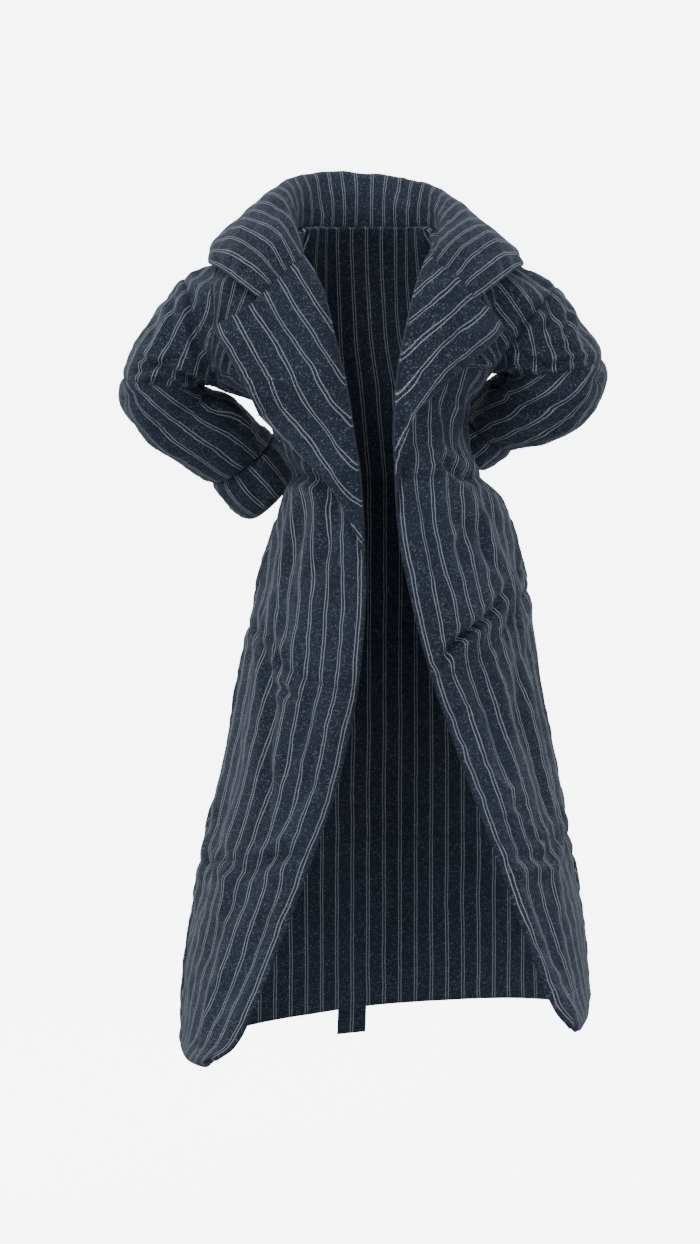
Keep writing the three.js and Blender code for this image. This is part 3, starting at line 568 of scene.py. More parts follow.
SLEEVE_FRONT_CREASES = [
    (5, 8, 3, (-342, -214), (-315, -230), (-276, -243), (-241, -254), (-212, -259)),
    (5, 7, 3, (-354, -256), (-325, -258), (-300, -251), (-271, -259)),
    (8, 11, 4, (-241, -97), (-255, -136), (-260, -170), (-249, -209), (-227, -249)),
    (6, 6, 3, (-292, -128), (-286, -164), (-296, -198), (-322, -222)),
    (6, 6, 3, (-270, -222), (-298, -226), (-330, -238), (-352, -240)),
    (8, 7, 3, (-212, -126), (-236, -180), (-244, -219)),
    (7, 6, 3, (-197, -151), (-217, -190), (-212, -234)),
    (9, 5, 3, (-310, -146), (-315, -180), (-330, -209)),
    (9, 6, 3, (-305, -259), (-266, -290), (-217, -310), (-153, -332)),
    (9, 5, 3, (-340, -288), (-305, -325), (-261, -357), (-227, -381)),
    (8, 6, 3, (-254, -278), (-207, -305), (-173, -347)),
    (7, 4, 2, (-180, -381), (-158, -425)),
    (8, 5, 3, (-276, -317), (-237, -347), (-197, -362)),
    (8, 12, 4, (225, -82), (221, -131), (215, -160), (198, -173)),
    (6, 8, 4, (248, -98), (236, -140), (231, -171), (216, -196)),
    (6, 7, 3, (288, -112), (300, -140), (294, -172), (278, -198)),
    (6, 6, 3, (312, -132), (318, -160), (330, -182)),
    (6, 6, 3, (238, -206), (268, -203), (298, -210), (331, -206)),
    (8, 8, 4, (267, -126), (275, -160), (255, -190), (242, -217)),
    (7, 5, 3, (227, -111), (244, -146), (269, -151)),
    (5, 8, 3, (349, -222), (298, -224), (257, -230), (227, -218), (195, -197)),
    (9, 7, 3, (151, -268), (200, -279), (249, -292), (294, -286)),
    (7, 6, 3, (156, -288), (176, -259), (208, -248), (232, -234)),
    (8, 5, 3, (240, -259), (279, -254), (323, -241)),
    (9, 5, 3, (200, -322), (249, -327), (308, -303)),
    (8, 6, 3, (186, -190), (205, -219), (195, -254)),
    (8, 4, 2, (313, -160), (323, -190), (333, -209)),
]
LAPEL_CREASES = [
    (9, 3, 3, (-144, -146), (-123, -194), (-87, -241)),
    (9, 3, 3, (-189, -203), (-149, -246), (-125, -289)),
    (9, 3, 3, (-87, -289), (-49, -341), (-26, -393)),
    (8, 2.5, 2, (-78, -203), (-49, -246), (-40, -289)),
    (9, 3, 3, (150, -161), (122, -203), (84, -246)),
    (8, 2.5, 2, (103, -137), (88, -175), (65, -213)),
    (8, 3, 2, (160, -203), (117, -246), (74, -298)),
]
COLLAR_CREASES = [
    (10, 3, 3, (-199, -44), (-156, -77), (-127, -116)),
    (9, 3, 2, (-141, -5), (-117, -44), (-93, -77)),
    (10, 3, 3, (201, -68), (162, -87), (138, -116)),
    (9, 3, 2, (129, -10), (114, -44), (90, -72)),
]


def gathers(x, distance, seed, reach=34, pitch=21):
    """Short puckers that run square off a line of quilting, uneven in length and spacing."""
    rng = np.random.default_rng(seed)
    total = np.zeros(np.shape(x))
    low, high = float(np.min(x)), float(np.max(x))
    at = low - rng.uniform(0, pitch)
    while at < high:
        at += pitch * rng.uniform(0.55, 1.7)
        length, deep, wide = reach * rng.uniform(0.45, 1.5), rng.uniform(0.25, 1.0), rng.uniform(3.6, 7.0)
        lean = rng.uniform(-0.35, 0.35)
        total = total + deep * bell(x - at - lean * distance, wide) * bell(distance, length)
    return total


def arc(points, axis):
    """Running length along one axis of a grid of points."""
    step = np.linalg.norm(np.diff(points, axis=axis), axis=-1)
    pad = [(0, 0), (0, 0)]
    pad[axis] = (1, 0)
    return np.pad(np.cumsum(step, axis=axis), pad)


def padded_wall(name, outer, inner, across, along, seam, closed=False, lips="", slot="padded_wool", lip=2.2):
    """One closed padded piece from grids of outer and inner points, in millimetres.

    across and along are the cloth's own sizes for each point, seam the distance to the nearest line of sewing, and
    lips names the sides (start, finish, bottom, top) whose edge is rolled over and not sewn to a neighbour.
    """
    rows, columns = outer.shape[:2]
    # Each side as the line of points on it and the next line inwards.
    every = slice(None)
    sides = {"bottom": ((0, every), (1, every)), "top": ((-1, every), (-2, every))}
    if not closed:
        sides |= {"start": ((every, 0), (every, 1)), "finish": ((every, -1), (every, -2))}
    verts = [outer.reshape(-1, 3), inner.reshape(-1, 3)]
    count = rows * columns
    total = 2 * count
    number_outer = np.arange(count).reshape(rows, columns)
    number_inner = number_outer + count
    middle = {}
    for side, (line, inwards) in sides.items():
        bulge = lip if side in lips.split() else 0.0
        centre = (outer[line] + inner[line]) / 2 - unit(outer[inwards] - outer[line]) * bulge
        verts.append(centre)
        middle[side] = np.arange(total, total + len(centre))
        total += len(centre)
    faces, uvs = [], []
    flat_uv = np.stack([across, along], -1) / 1000
    if closed:
        wrap = lambda grid: np.concatenate([grid, grid[:, :1]], 1)
        number_outer, number_inner = wrap(number_outer), wrap(number_inner)
        middle = {side: np.r_[m, m[0]] for side, m in middle.items()}

    def strip(a, b, uv_a, uv_b):
        faces.append(np.stack([a[:-1], a[1:], b[1:], b[:-1]], -1))
        uvs.append(np.stack([uv_a[:-1], uv_a[1:], uv_b[1:], uv_b[:-1]], 1))

    for k in range(rows - 1):
        strip(number_outer[k], number_outer[k + 1], flat_uv[k], flat_uv[k + 1])
        strip(number_inner[k + 1], number_inner[k], flat_uv[k + 1], flat_uv[k])
    for side, (line, _) in sides.items():
        out, mid, inn = number_outer[line], middle[side], number_inner[line]
        # Opposite sides run opposite ways, so that all faces turn outward.
        pairs = ((mid, out), (inn, mid)) if side in ("bottom", "finish") else ((out, mid), (mid, inn))
        for a, b in pairs:
            strip(a, b, flat_uv[line], flat_uv[line])
    faces = np.concatenate(faces)
    uvs = np.concatenate(uvs)
    points = np.concatenate(verts) / 1000
    # The corners of an open wall close over the ends of its four middle lines.
    if not closed:
        corner = [
            (middle["bottom"][0], number_outer[0, 0], middle["start"][0], number_inner[0, 0]),
            (middle["start"][-1], number_outer[-1, 0], middle["top"][0], number_inner[-1, 0]),
            (middle["top"][-1], number_outer[-1, -1], middle["finish"][-1], number_inner[-1, -1]),
            (middle["finish"][0], number_outer[0, -1], middle["bottom"][-1], number_inner[0, -1]),
        ]
        faces = np.concatenate([faces, np.array(corner)])
        uvs = np.concatenate([uvs, np.repeat(flat_uv[[0, -1, -1, 0], [0, 0, -1, -1]][:, None], 4, 1)])
    a, b, c, d = (points[faces[:, k]] for k in range(4))
    volume = np.einsum("ij,ij->i", a, np.cross(b, c)).sum() + np.einsum("ij,ij->i", a, np.cross(c, d)).sum()
    if volume < 0:
        faces, uvs = faces[:, ::-1], uvs[:, ::-1]
    mesh = bpy.data.meshes.new(name)
    mesh.vertices.add(len(points))
    mesh.vertices.foreach_set("co", points.ravel())
    mesh.loops.add(faces.size)
    mesh.loops.foreach_set("vertex_index", faces.ravel().astype(np.int32))
    mesh.polygons.add(len(faces))
    mesh.polygons.foreach_set("loop_start", np.arange(0, faces.size, 4, dtype=np.int32))
    mesh.update(calc_edges=True)
    mesh.uv_layers.new(name="cloth").data.foreach_set("uv", uvs.reshape(-1))
    # The distance to the nearest line of sewing, which the wool reads to place its stitches and to paint shade beside
    # the seams.
    sewing = mesh.attributes.new("sewing", "FLOAT", "POINT")
    values = np.full(len(points), 0.0)
    values[:count] = values[count:2 * count] = np.minimum(seam, 100).ravel() / 1000
    sewing.data.foreach_set("value", values)
    mesh.polygons.foreach_set("use_smooth", np.ones(len(faces), bool))
    mesh.update()
    piece = bpy.data.objects.new(name, mesh)
    bpy.context.scene.collection.objects.link(piece)
    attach(piece, "root")
    return piece


def finer(count, ends=3):
    """Even shares from 0 to 1, with a few closer ones at both ends."""
    even = np.linspace(0, 1, count + 1)
    close = even[1] * (np.arange(1, ends + 1) / (ends + 1)) ** 1.2
    return np.unique(np.r_[even, close, 1 - close])


def settle(points, pinned, closed, loft, cap):
    """Blows up a coarse copy of a piece's outer cloth, cut a little too large, so that it puckers off its seams.

    Returns how far each point moves, in millimetres. Sewn points are pinned, and no point moves past the cap.
    """
    rows, columns = points.shape[:2]
    numbers = np.arange(rows * columns).reshape(rows, columns)
    if closed:
        numbers = np.concatenate([numbers, numbers[:, :1]], 1)
    quads = np.stack([numbers[:-1, :-1], numbers[1:, :-1], numbers[1:, 1:], numbers[:-1, 1:]], -1).reshape(-1, 4)
    mesh = bpy.data.meshes.new("settling")
    mesh.from_pydata((points.reshape(-1, 3) / 1000).tolist(), [], quads.tolist())
    cloth = bpy.data.objects.new("settling", mesh)
    bpy.context.scene.collection.objects.link(cloth)
    sewn = cloth.vertex_groups.new(name="sewn")
    sewn.add([int(k) for k in np.flatnonzero(pinned.ravel())], 1.0, "REPLACE")
    simulation = cloth.modifiers.new("settle", "CLOTH")
    settings = simulation.settings
    settings.quality = 5
    settings.mass = 0.15
    settings.air_damping = 2
    settings.tension_stiffness = settings.compression_stiffness = 14
    settings.shear_stiffness = 6
    settings.bending_stiffness = 0.25
    settings.shrink_min = -GROWTH
    settings.use_pressure = True
    settings.uniform_pressure_force = loft
    settings.vertex_group_mass = "sewn"
    settings.effector_weights.gravity = 0
    simulation.collision_settings.use_collision = False
    for moment in range(1, 21):
        bpy.context.scene.frame_set(moment)
    shown = cloth.evaluated_get(bpy.context.evaluated_depsgraph_get())
    moved = np.empty(rows * columns * 3)
    shown.data.vertices.foreach_get("co", moved)
    move = moved.reshape(rows, columns, 3) * 1000 - points
    bpy.data.objects.remove(cloth)
    bpy.data.meshes.remove(mesh)
    bpy.context.scene.frame_set(1)
    if not np.isfinite(move).all():
        raise RuntimeError("the cloth didn't settle")
    far = np.linalg.norm(move, axis=-1, keepdims=True)
    return move * np.tanh(far / cap) * cap / np.maximum(far, 1e-9)


def share_out(places, fine, closed=False):
    """How much each coarse row gives to each fine one, as a smooth cubic."""
    count = len(places)
    at = np.interp(fine, np.r_[places, 1.0] if closed else places, np.arange(count + closed))
    k = np.minimum(at.astype(int), count - 1 if closed else count - 2)
    t = at - k
    gives = np.zeros((len(fine), count))
    parts = (1 - t) ** 3, 3 * t**3 - 6 * t**2 + 4, -3 * t**3 + 3 * t**2 + 3 * t + 1, t**3
    for step, part in enumerate(parts, -1):
        row = (k + step) % count if closed else np.clip(k + step, 0, count - 1)
        np.add.at(gives, (np.arange(len(fine)), row), part / 6)
    return gives


def spread(move, rows, columns, fine_rows, fine_columns, closed=False):
    """Carries the coarse cloth's movement over to the fine grid."""
    down, over = share_out(rows, fine_rows), share_out(columns, fine_columns, closed)
    return np.einsum("ai,ijk,bj->abk", down, move, over, optimize=True)


def outline_of(grid):
    """Marks the four sides of a grid, where a piece is sewn or bound all round."""
    marked = np.ones(grid.shape, bool)
    marked[1:-1, 1:-1] = False
    return marked


def even_cut(coarse, size, spacing):
    """The shares at which a piece is cut coarse and fine, along it and across it."""
    return [np.linspace(0, 1, count) for count in coarse], [finer(int(long / spacing), 2) for long in size]


def cut(name, cloth, coarse_cut, fine_cut, flip, loft, closed=False, u_offset=0, **edges):
    """Cuts a padded piece coarse and lets it settle, then cuts it fine with the same movement.

    cloth gives a piece's points from its rows and shares. flip is -1 where the coarse net would face inwards.
    """
    coarse = cloth(*coarse_cut)
    move = settle(coarse["outer"][:, ::flip], coarse["pinned"], closed, *loft)[:, ::flip]
    fine = cloth(*fine_cut)
    last = -1 if closed else None
    rows, shares = fine_cut[0], fine_cut[1][:last]
    outer = fine["outer"][:, :last] + spread(move, *coarse_cut, rows, shares, closed)
    return padded_wall(name, outer, fine["inner"][:, :last], fine["u"] + u_offset, fine["v"], fine["seam"][:, :last],
                       closed=closed, **edges)


def body_rows(spacing, ends):
    """The rows up a body panel, each as its channel plus the share of it."""
    rows = [channel + finer(int(tall / spacing), ends)[:-1] for channel, tall in enumerate(CHANNEL_TALL)]
    return np.concatenate([*rows, YOKE + finer(int(YOKE_CUT / spacing), ends)])


def body_cloth(panel, rows, shares):
    """A front's or the back's outer and inner points, cloth sizes and distance to its sewing, before it settles."""
    back = panel == "back"
    channel = np.minimum(np.floor(rows + 1e-9).astype(int), YOKE)[:, None]
    share = np.clip(rows[:, None] - channel, 0, 1)
    across = np.broadcast_to(shares, (len(rows), len(shares)))
    place = np.clip(round_coat(panel, across), 0, 1)
    lower = np.stack([quilting_height(k, place[0]) for k in range(5)] + [np.full(len(shares), float(NECKLINE))])
    height = lerp(lower[channel[:, 0]], lower[channel[:, 0] + 1], share)
    in_yoke = np.broadcast_to(channel == YOKE, height.shape)
    point, normal = body_point(panel, height, across), body_normal(panel, height, across)
    plain = normal

    from_side = np.minimum(across, 1 - across) * BACK_WIDTH if back else (1 - across) * FRONT_WIDTH
    from_front = np.full(across.shape, float(BACK_WIDTH)) if back else across * FRONT_WIDTH
    side = np.where(across < 0.5, "right", "left") if back else np.full(across.shape, panel)
    angle = np.pi * (1 + share if back else 1 - share) + 0 * across
    near = bell(from_side, 16)[..., None]
    up = np.where(in_yoke, share, 0)
    along_shoulder = np.clip(1 - np.minimum(across, 1 - across) / BACK_SHOULDER, 0, 1) if back else across
    on_shoulder = bell((1 - up) * YOKE_TALL, 14) * in_yoke
    if back:
        on_shoulder = on_shoulder * (np.minimum(across, 1 - across) <= BACK_SHOULDER)
    for which in ("right", "left") if back else (panel,):
        normal = unit(lerp(normal, armhole_normal(which, angle), near * (in_yoke & (side == which))[..., None]))
        close = (on_shoulder * (side == which))[..., None] * (1 - near * 0.5)
        normal = unit(lerp(normal, shoulder_normal(which, along_shoulder), close))

    # The loft of each channel between its lines of quilting.
    tall = lower[channel[:, 0] + 1] - lower[channel[:, 0]]
    below, above = share * tall, (1 - share) * tall
    depth_of = np.array([*QUILTING_DEPTH, 0])
    sunk = depth_of[channel] * np.exp(-below / 17) + depth_of[np.minimum(channel + 1, 5)] * np.exp(-above / 17)
    at_hem = BODY_PUFF * (1 - edge_swell(below)) + depth_of[1] * np.exp(-above / 17)
    sunk = np.where(channel == 0, at_hem, np.where(in_yoke, 6 * np.exp(-(1 - up) * YOKE_TALL / 14), sunk))
    sunk = np.maximum(sunk, BODY_PUFF * (1 - edge_swell(from_front * 1.3)))
    sunk = np.maximum(sunk, np.where(in_yoke, 5.0, 4.5) * np.exp(-from_side / 13))
    fold = np.where(in_yoke, 0, fold_depth(place, height) * edge_swell(from_front))

    # Cloth sizes: stripes run down beside the front edge, or down from the middle of the back.
    run = arc(point, 1)
    u = run + 7
    if back:
        centre = 28 * (1 - smoothstep(height.mean(1), -420, 0))
        u = run - np.array([np.interp(c, x, row) for c, x, row in zip(centre, point[..., 0], run)])[:, None] + 13
    v = arc(point, 0)[:, :: max(len(shares) // 8, 1)].mean(1)[:, None] + 0 * u
    if not back:
        # Above the underarm the raised arm drags the stripes aslant.
        lean = YOKE_LEAN[panel]
        level = np.flatnonzero(channel[:, 0] == YOKE)[0]
        outward, rise = SIGN[panel] * point[..., 0], np.maximum(height - UNDERARM, 0)
        row = SIGN[panel] * point[level, :, 0]
        grain = np.interp(outward, row, u[level]) + np.maximum(outward - row[-1], 0)
        pull = smoothstep(rise, 0, 30)
        u = np.where(in_yoke, (grain + lean * np.maximum(rise - 15, 0) * pull) / np.sqrt(1 + lean**2 * pull), u)

    # Puckers, hills and creases.
    seed = {"back": 11, "right": 23, "left": 37}[panel]
    full = edge_swell(from_front) * edge_swell(from_side) * np.where(channel == 0, edge_swell(below), 1)
    puckers = 1.8 * gathers(v, from_side, seed + 7, 26, 27) + 1.6 * gathers(v, from_front, seed + 8, 24, 22)
    for line, deep in ((1, 2.6), (2, 3.0), (3, 3.6)):
        puckers = puckers + deep * gathers(u, np.abs(height - quilting_height(line, place)), seed + line)
    hills = 2.4 * ripple(u, v * 0.6, seed, 120) + 1.2 * ripple(u, v, seed + 1, 42)
    depth, slip = (0, 0) if back else crease_field(point[..., 0], point[..., 2], FRONT_CREASES)
    depth = depth * edge_swell(from_front)
    relief = np.minimum(hills * full - sunk - fold - puckers * full - depth, 4.5)
    outer = point + normal * relief[..., None]
    inner = point - plain * (BODY_PUFF + SEAM_WALL + fold + np.clip(0.6 * depth, 0, 9) * full)[..., None]
    inner = np.where((in_yoke & (from_side < 1e-6))[..., None], outer - normal * SEAM_WALL, inner)
    if not back:
        # The lower front corner is turned round and not cut to a point.
        corner = np.where(channel == 0, np.exp(-((from_front / 26) ** 2) - (below / 30) ** 2), 0)
        inward = unit(body_point(panel, LOWEST + 110, 0.3) - body_point(panel, LOWEST, 0.0))
        outer, inner = outer + 15 * corner[..., None] * inward, inner + 15 * corner[..., None] * inward
    loose = 0.5 if back else 1
    wobble = loose * (1.5 * ripple(u * 0.5, v, seed + 5, 150) + 0.5 * ripple(u, v, seed + 6, 48)) + slip
    seam = np.minimum.reduce([np.minimum(below, above) + np.where(in_yoke, 100, 0), from_side + 3, from_front + 6])
    whole = np.abs(rows - np.round(rows)) < 1e-6
    pinned = np.zeros(across.shape, bool)
    pinned[whole & (np.round(rows) != YOKE)] = True
    pinned[:, [0, -1]] = True
    return {"outer": outer, "inner": inner, "u": u + wobble, "v": v, "seam": seam, "pinned": pinned}


def body_panel(name, panel, spacing):
    """A front or the back."""
    width = CUT_WIDTH[panel]
    coarse = body_rows(BODY_COARSE, 0), np.linspace(0, 1, int(width / BODY_COARSE) + 1)
    fine = body_rows(spacing, 2), finer(int(width / spacing), 2)
    return cut(name, lambda rows, shares: body_cloth(panel, rows, shares), coarse, fine, SIGN[panel], BODY_LOFT,
               lips="bottom" if panel == "back" else "bottom start")


def sleeve_surface(side):
    """A sleeve as a function of the ring along it and the angle round it, with the outside of the arm at 0."""
    rows = SLEEVE[side]
    outs = [armhole(side, 0.0)] + [np.array(p) for p in zip(rows["outX"], rows["y"], rows["outZ"])]
    inns = [armhole(side, np.pi)] + [np.array(p) for p in zip(rows["inX"], rows["y"], rows["inZ"])]
    deeps = np.r_[ARMHOLE_DEPTH, rows["deep"]]
    last = len(outs) - 1

    def at(along, angle):
        along, angle = np.broadcast_arrays(np.asarray(along, float), np.asarray(angle, float))
        share = np.clip(along / last, 0, 1)
        deep = np.interp(along, np.arange(last + 1), deeps)
        out, inn = spline(outs, share), spline(inns, share)
        up, centre = (out - inn) / 2, (out + inn) / 2
        ahead, behind = np.minimum(share + 0.02, 1), np.maximum(share - 0.02, 0)
        travel = spline(outs, ahead) + spline(inns, ahead) - spline(outs, behind) - spline(inns, behind)
        forward = unit(np.cross(travel, up))
        forward = np.where(forward[..., 1:2] > 0, -forward, forward)
        forward = unit(lerp(forward, np.array([0.0, -1.0, 0.0]), (1 - smoothstep(along, 0, 2))[..., None]))
        return centre + up * np.cos(angle)[..., None] + forward * (deep * np.sin(angle))[..., None]

    return at


def sleeve_cloth(side, start, finish, shares, turns, proud, seed):
    """A stretch of a sleeve's outer and inner points. A turn of 0 is the seam under the arm."""
    surface = sleeve_surface(side)
    along, angle = np.meshgrid(start + (finish - start) * shares, np.pi + 2 * np.pi * turns, indexing="ij")
    point = surface(along, angle)
    step = 1e-3
    around = surface(along, angle + step) - surface(along, angle - step)
    length = surface(np.minimum(along + step, LAST_RING), angle) - surface(np.maximum(along - step, 0), angle)
    normal = unit(np.cross(around, length))
    flip = np.einsum("ijk,ijk->ij", normal, point - surface(along, angle + np.pi)) < 0
    normal = np.where(flip[..., None], -normal, normal)
    if start == 0:
        normal = unit(lerp(normal, armhole_normal(side, angle), bell(along * 30, 14)[..., None]))
    lengthwise = arc(point, 0)
    below, above = lengthwise, lengthwise[-1:] - lengthwise
    v = lengthwise.mean(1)[:, None] + 0 * along

    # The stripes run straight down this stretch, and beside its outer and inner lines where the cloth turns away.
    bend = 0.0 if start == 0 else 0.35
    first, last = surface(start + (finish - start) * bend, angle[0]).mean(0), surface(float(finish), angle[0]).mean(0)
    axis = np.array(UPPER_GRAIN[side]) if start == 0 else unit(last - first)
    outward = surface((start + finish) / 2, 0.0) - surface((start + finish) / 2, np.pi)
    outward = unit(outward - axis * (outward @ axis))
    off_axis, down = (point - first) @ outward, (point - first) @ axis
    half = {}
    for turn in (0.0, np.pi):
        line = surface(np.linspace(start, finish, 60), turn) - first
        order = np.argsort(line @ axis)
        half[turn] = np.interp(down, (line @ axis)[order], np.abs(line @ outward)[order])
    reach = np.where(off_axis > 0, half[0.0], half[np.pi])
    typical = np.where(off_axis > 0, np.median(half[0.0]), np.median(half[np.pi]))
    u = typical * np.arcsin(np.clip(off_axis / np.maximum(reach, 20), -1, 1))

    loop = SLEEVE_ROUND / (2 * np.pi)
    wx, wy, around_mm = loop * np.cos(angle), loop * np.sin(angle), angle * loop
    at_start = {0: 5.0, ELBOW_RING: 3.0}.get(start, SLEEVE_PUFF)
    at_finish = 3.0 if finish == ELBOW_RING else SLEEVE_PUFF
    sunk = np.maximum(at_start * np.exp(-below / 6), at_finish * np.exp(-above / 6))
    if finish == LAST_RING:
        sunk = np.maximum(sunk, 3.5 * (1 - edge_swell(above * 2.5)))
    under = np.minimum(turns, 1 - turns)[None] * SLEEVE_ROUND + 0 * along
    sunk = np.maximum(sunk, 3.0 * np.exp(-under / 11))
    full = edge_swell(below * 1.5) * edge_swell(above * 1.5) * edge_swell(under + 6)
    puckers = 2.4 * gathers(around_mm, below, seed, 30, 19) + 2.4 * gathers(around_mm, above, seed + 1, 30, 19)
    hills = 2.0 * ripple(wx + 0.7 * v, wy + 0.5 * v, seed + 2, 90) + 1.0 * ripple(wx + 2.1 * v, wy - v, seed + 3, 40)
    depth, slip = crease_field(point[..., 0], point[..., 2], SLEEVE_FRONT_CREASES)
    behind = [(w, d, s, *[(x + 9, z - 5) for x, z in path]) for w, d, s, *path in SLEEVE_FRONT_CREASES]
    depth_b, slip_b = crease_field(point[..., 0], point[..., 2], behind)
    facing, away = smoothstep(-normal[..., 1], -0.1, 0.5), smoothstep(normal[..., 1], -0.1, 0.5)
    crease = (depth * facing + depth_b * away) * np.clip(full + 0.25, 0, 1)
    relief = np.minimum(proud - sunk - puckers * full + hills * full - crease, proud + 3.5)
    outer, inner = point + normal * relief[..., None], point - normal * (SLEEVE_PUFF + SEAM_WALL)
    wobble = 1.3 * ripple(wx + v, wy - 0.5 * v, seed + 5, 90) + 0.5 * (slip * facing + slip_b * away)
    pinned = np.zeros(along.shape, bool)
    pinned[[0, -1]] = True
    seam = np.minimum(below, above)
    return {"outer": outer, "inner": inner, "u": u + wobble, "v": down, "seam": seam, "pinned": pinned}


def sleeve_stretch(name, side, start, finish, spacing, proud, seed):
    """A stretch of a sleeve from one ring to another, as a padded tube that has settled."""
    surface = sleeve_surface(side)
    long = np.linalg.norm(np.diff(surface(np.linspace(start, finish, 40), 0.0), axis=0), axis=-1).sum()
    cloth = lambda shares, turns: sleeve_cloth(side, start, finish, shares, turns, proud, seed)
    rows = max(int(long / SLEEVE_COARSE), 4) + 1
    coarse = np.linspace(0, 1, rows), np.arange(SLEEVE_COARSE_ROUND) / SLEEVE_COARSE_ROUND
    outer = cloth(*coarse)["outer"]
    normal = np.cross(outer[1, 1] - outer[0, 1], outer[0, 2] - outer[0, 1])
    flip = -1 if normal @ (outer[0, 1] - outer[0].mean(0)) < 0 else 1
    columns = int(SLEEVE_ROUND / spacing)
    fine = finer(max(int(long / spacing), 8), 2), np.r_[np.arange(columns) / columns, 1.0]
    return cut(name, cloth, coarse, fine, flip, SLEEVE_LOFT, closed=True, u_offset=13,
               lips="top" if finish == LAST_RING else "")


def front_behind(side, x, z):
    """The place on a front panel that lies behind a point seen from the front, found by a few corrections."""
    across, height = np.full(np.shape(x), 0.4), np.array(z, float)
    for _ in range(12):
        point = body_point(side, height, across)
        slope = (body_point(side, height, across + 1e-3)[..., 0] - point[..., 0]) / 1e-3
        across = np.clip(across + (x - point[..., 0]) / slope, 0, 1)
        height = np.clip(height + (z - point[..., 2]), LOWEST, NECKLINE)
    return body_point(side, height, across), body_normal(side, height, across), across


def lapel_outline(side):
    """A lapel seen from the front, as a patch from the roll line out to the free edge."""
    shape = LAPEL[side]
    flat = lambda p: np.array([p[0], 0.0, p[1]])
    start_height = shape["break_height"]
    roll = [k for k, height in enumerate(FRONT_EDGE["height"]) if height > start_height]
    roll_start = flat((float(front_edge[side](start_height)), start_height))
    start = curve([roll_start, *(flat((FRONT_EDGE[side][k], FRONT_EDGE["height"][k])) for k in roll)])
    finish = curve([flat(p) for p in shape["edge"]])
    top = curve([start(1.0), flat(shape["gorge_end"]), finish(1.0)])
    return patch(curve([roll_start, flat(shape["edge"][0])]), top, start, finish)


def lapel_cloth(side, rows, shares):
    """A lapel's outer and inner points, laid over the front and lifted towards the free edge."""
    outline = lapel_outline(side)
    up, across = np.meshgrid(rows, shares, indexing="ij")
    flat = outline(across, up)
    point, normal, behind = front_behind(side, flat[..., 0], flat[..., 2])
    sunk = BODY_PUFF * (1 - edge_swell(behind * FRONT_WIDTH))
    lift = lerp(LAPEL_ROLL_LIFT, LAPEL_EDGE_LIFT, across * smoothstep(up, 0, 0.5)) - sunk
    # The lift would carry the free edge outward, so it is drawn in by as much.
    drawn = np.maximum(lift - 8, 0)[..., None] * normal
    point, normal, behind = front_behind(side, flat[..., 0] - drawn[..., 0], flat[..., 2] - drawn[..., 2])
    run, v = arc(point, 1), arc(point, 0)
    from_roll, from_edge, from_break, from_top = run, run[:, -1:] - run, v, v[-1:] - v
    swell = edge_swell(from_roll * 1.3) * edge_swell(from_edge * 2)
    swell = swell * edge_swell(from_break * 1.4) * edge_swell(from_top)
    seed = {"right": 51, "left": 67}[side]

    # The stripes keep level with the free edge and run out at the roll.
    edge = curve([(x, 0, z) for x, z in LAPEL_GRAIN[side]])(np.linspace(0, 1, 60))[:, ::2]
    u, length_at, _, _ = beside(edge, flat[..., 0], flat[..., 2])
    puckers = 1.6 * gathers(v, from_edge, seed, 24, 26) + 1.5 * gathers(v, from_roll, seed + 1, 26, 30)
    puckers = puckers + 1.9 * gathers(u, from_top, seed + 2, 28, 20)
    hills = 1.8 * ripple(u, length_at * 0.6, seed, 90) + 0.9 * ripple(u, length_at, seed + 1, 36)
    depth, slip = crease_field(flat[..., 0], flat[..., 2], LAPEL_CREASES)
    thick = np.maximum(lerp(6.5, LAPEL_WALL + 4, swell) - (puckers - hills + depth) * swell, 3.0)
    # The tip is held down.
    tip = np.exp(-((from_edge / 16) ** 2) - (from_top / 16) ** 2)
    inner = point + normal * (lift - 5 * tip)[..., None]
    outer = inner + normal * thick[..., None]
    wobble = 1.1 * ripple(u * 0.5, length_at, seed + 5, 110) + 0.7 * ripple(u, length_at, seed + 6, 40) + slip
    return {"outer": outer, "inner": inner, "u": u + wobble + 6, "v": length_at, "pinned": outline_of(up),
            "seam": np.minimum(from_top, from_edge + 4)}


def lapel(name, side, spacing):
    """A lapel, padded, rolled back on the front and lifting off it towards its free edge."""
    return cut(name, lambda rows, shares: lapel_cloth(side, rows, shares), *even_cut(LAPEL_COARSE, LAPEL_CUT, spacing),
               SIGN[side], COLLAR_LOFT, lips="start finish bottom", lip=3.6)


def collar_surface():
    """The collar as a function of its place round the neck, -1 to 1, and across from its seam to its leaf edge."""
    lines = []
    for line, outward in COLLAR_LINES.items():
        half = {}
        for side in ("right", "left"):
            rise = COLLAR["rightUp"] if side == "right" else 0
            out = COLLAR["rightOut"] * outward if side == "right" else 0
            half[side] = xyz(SIGN[side] * (COLLAR[line + "X"] + out), COLLAR[line + "Y"], COLLAR[line + "Z"] + rise)
        lines.append([*half["right"], *half["left"][::-1][1:]])

    def at(place, across):
        place, across = np.broadcast_arrays(np.asarray(place, float), np.asarray(across, float))
        stops = [spline(line, (place + 1) / 2) for line in lines]
        return spline(stops, across)

    return at


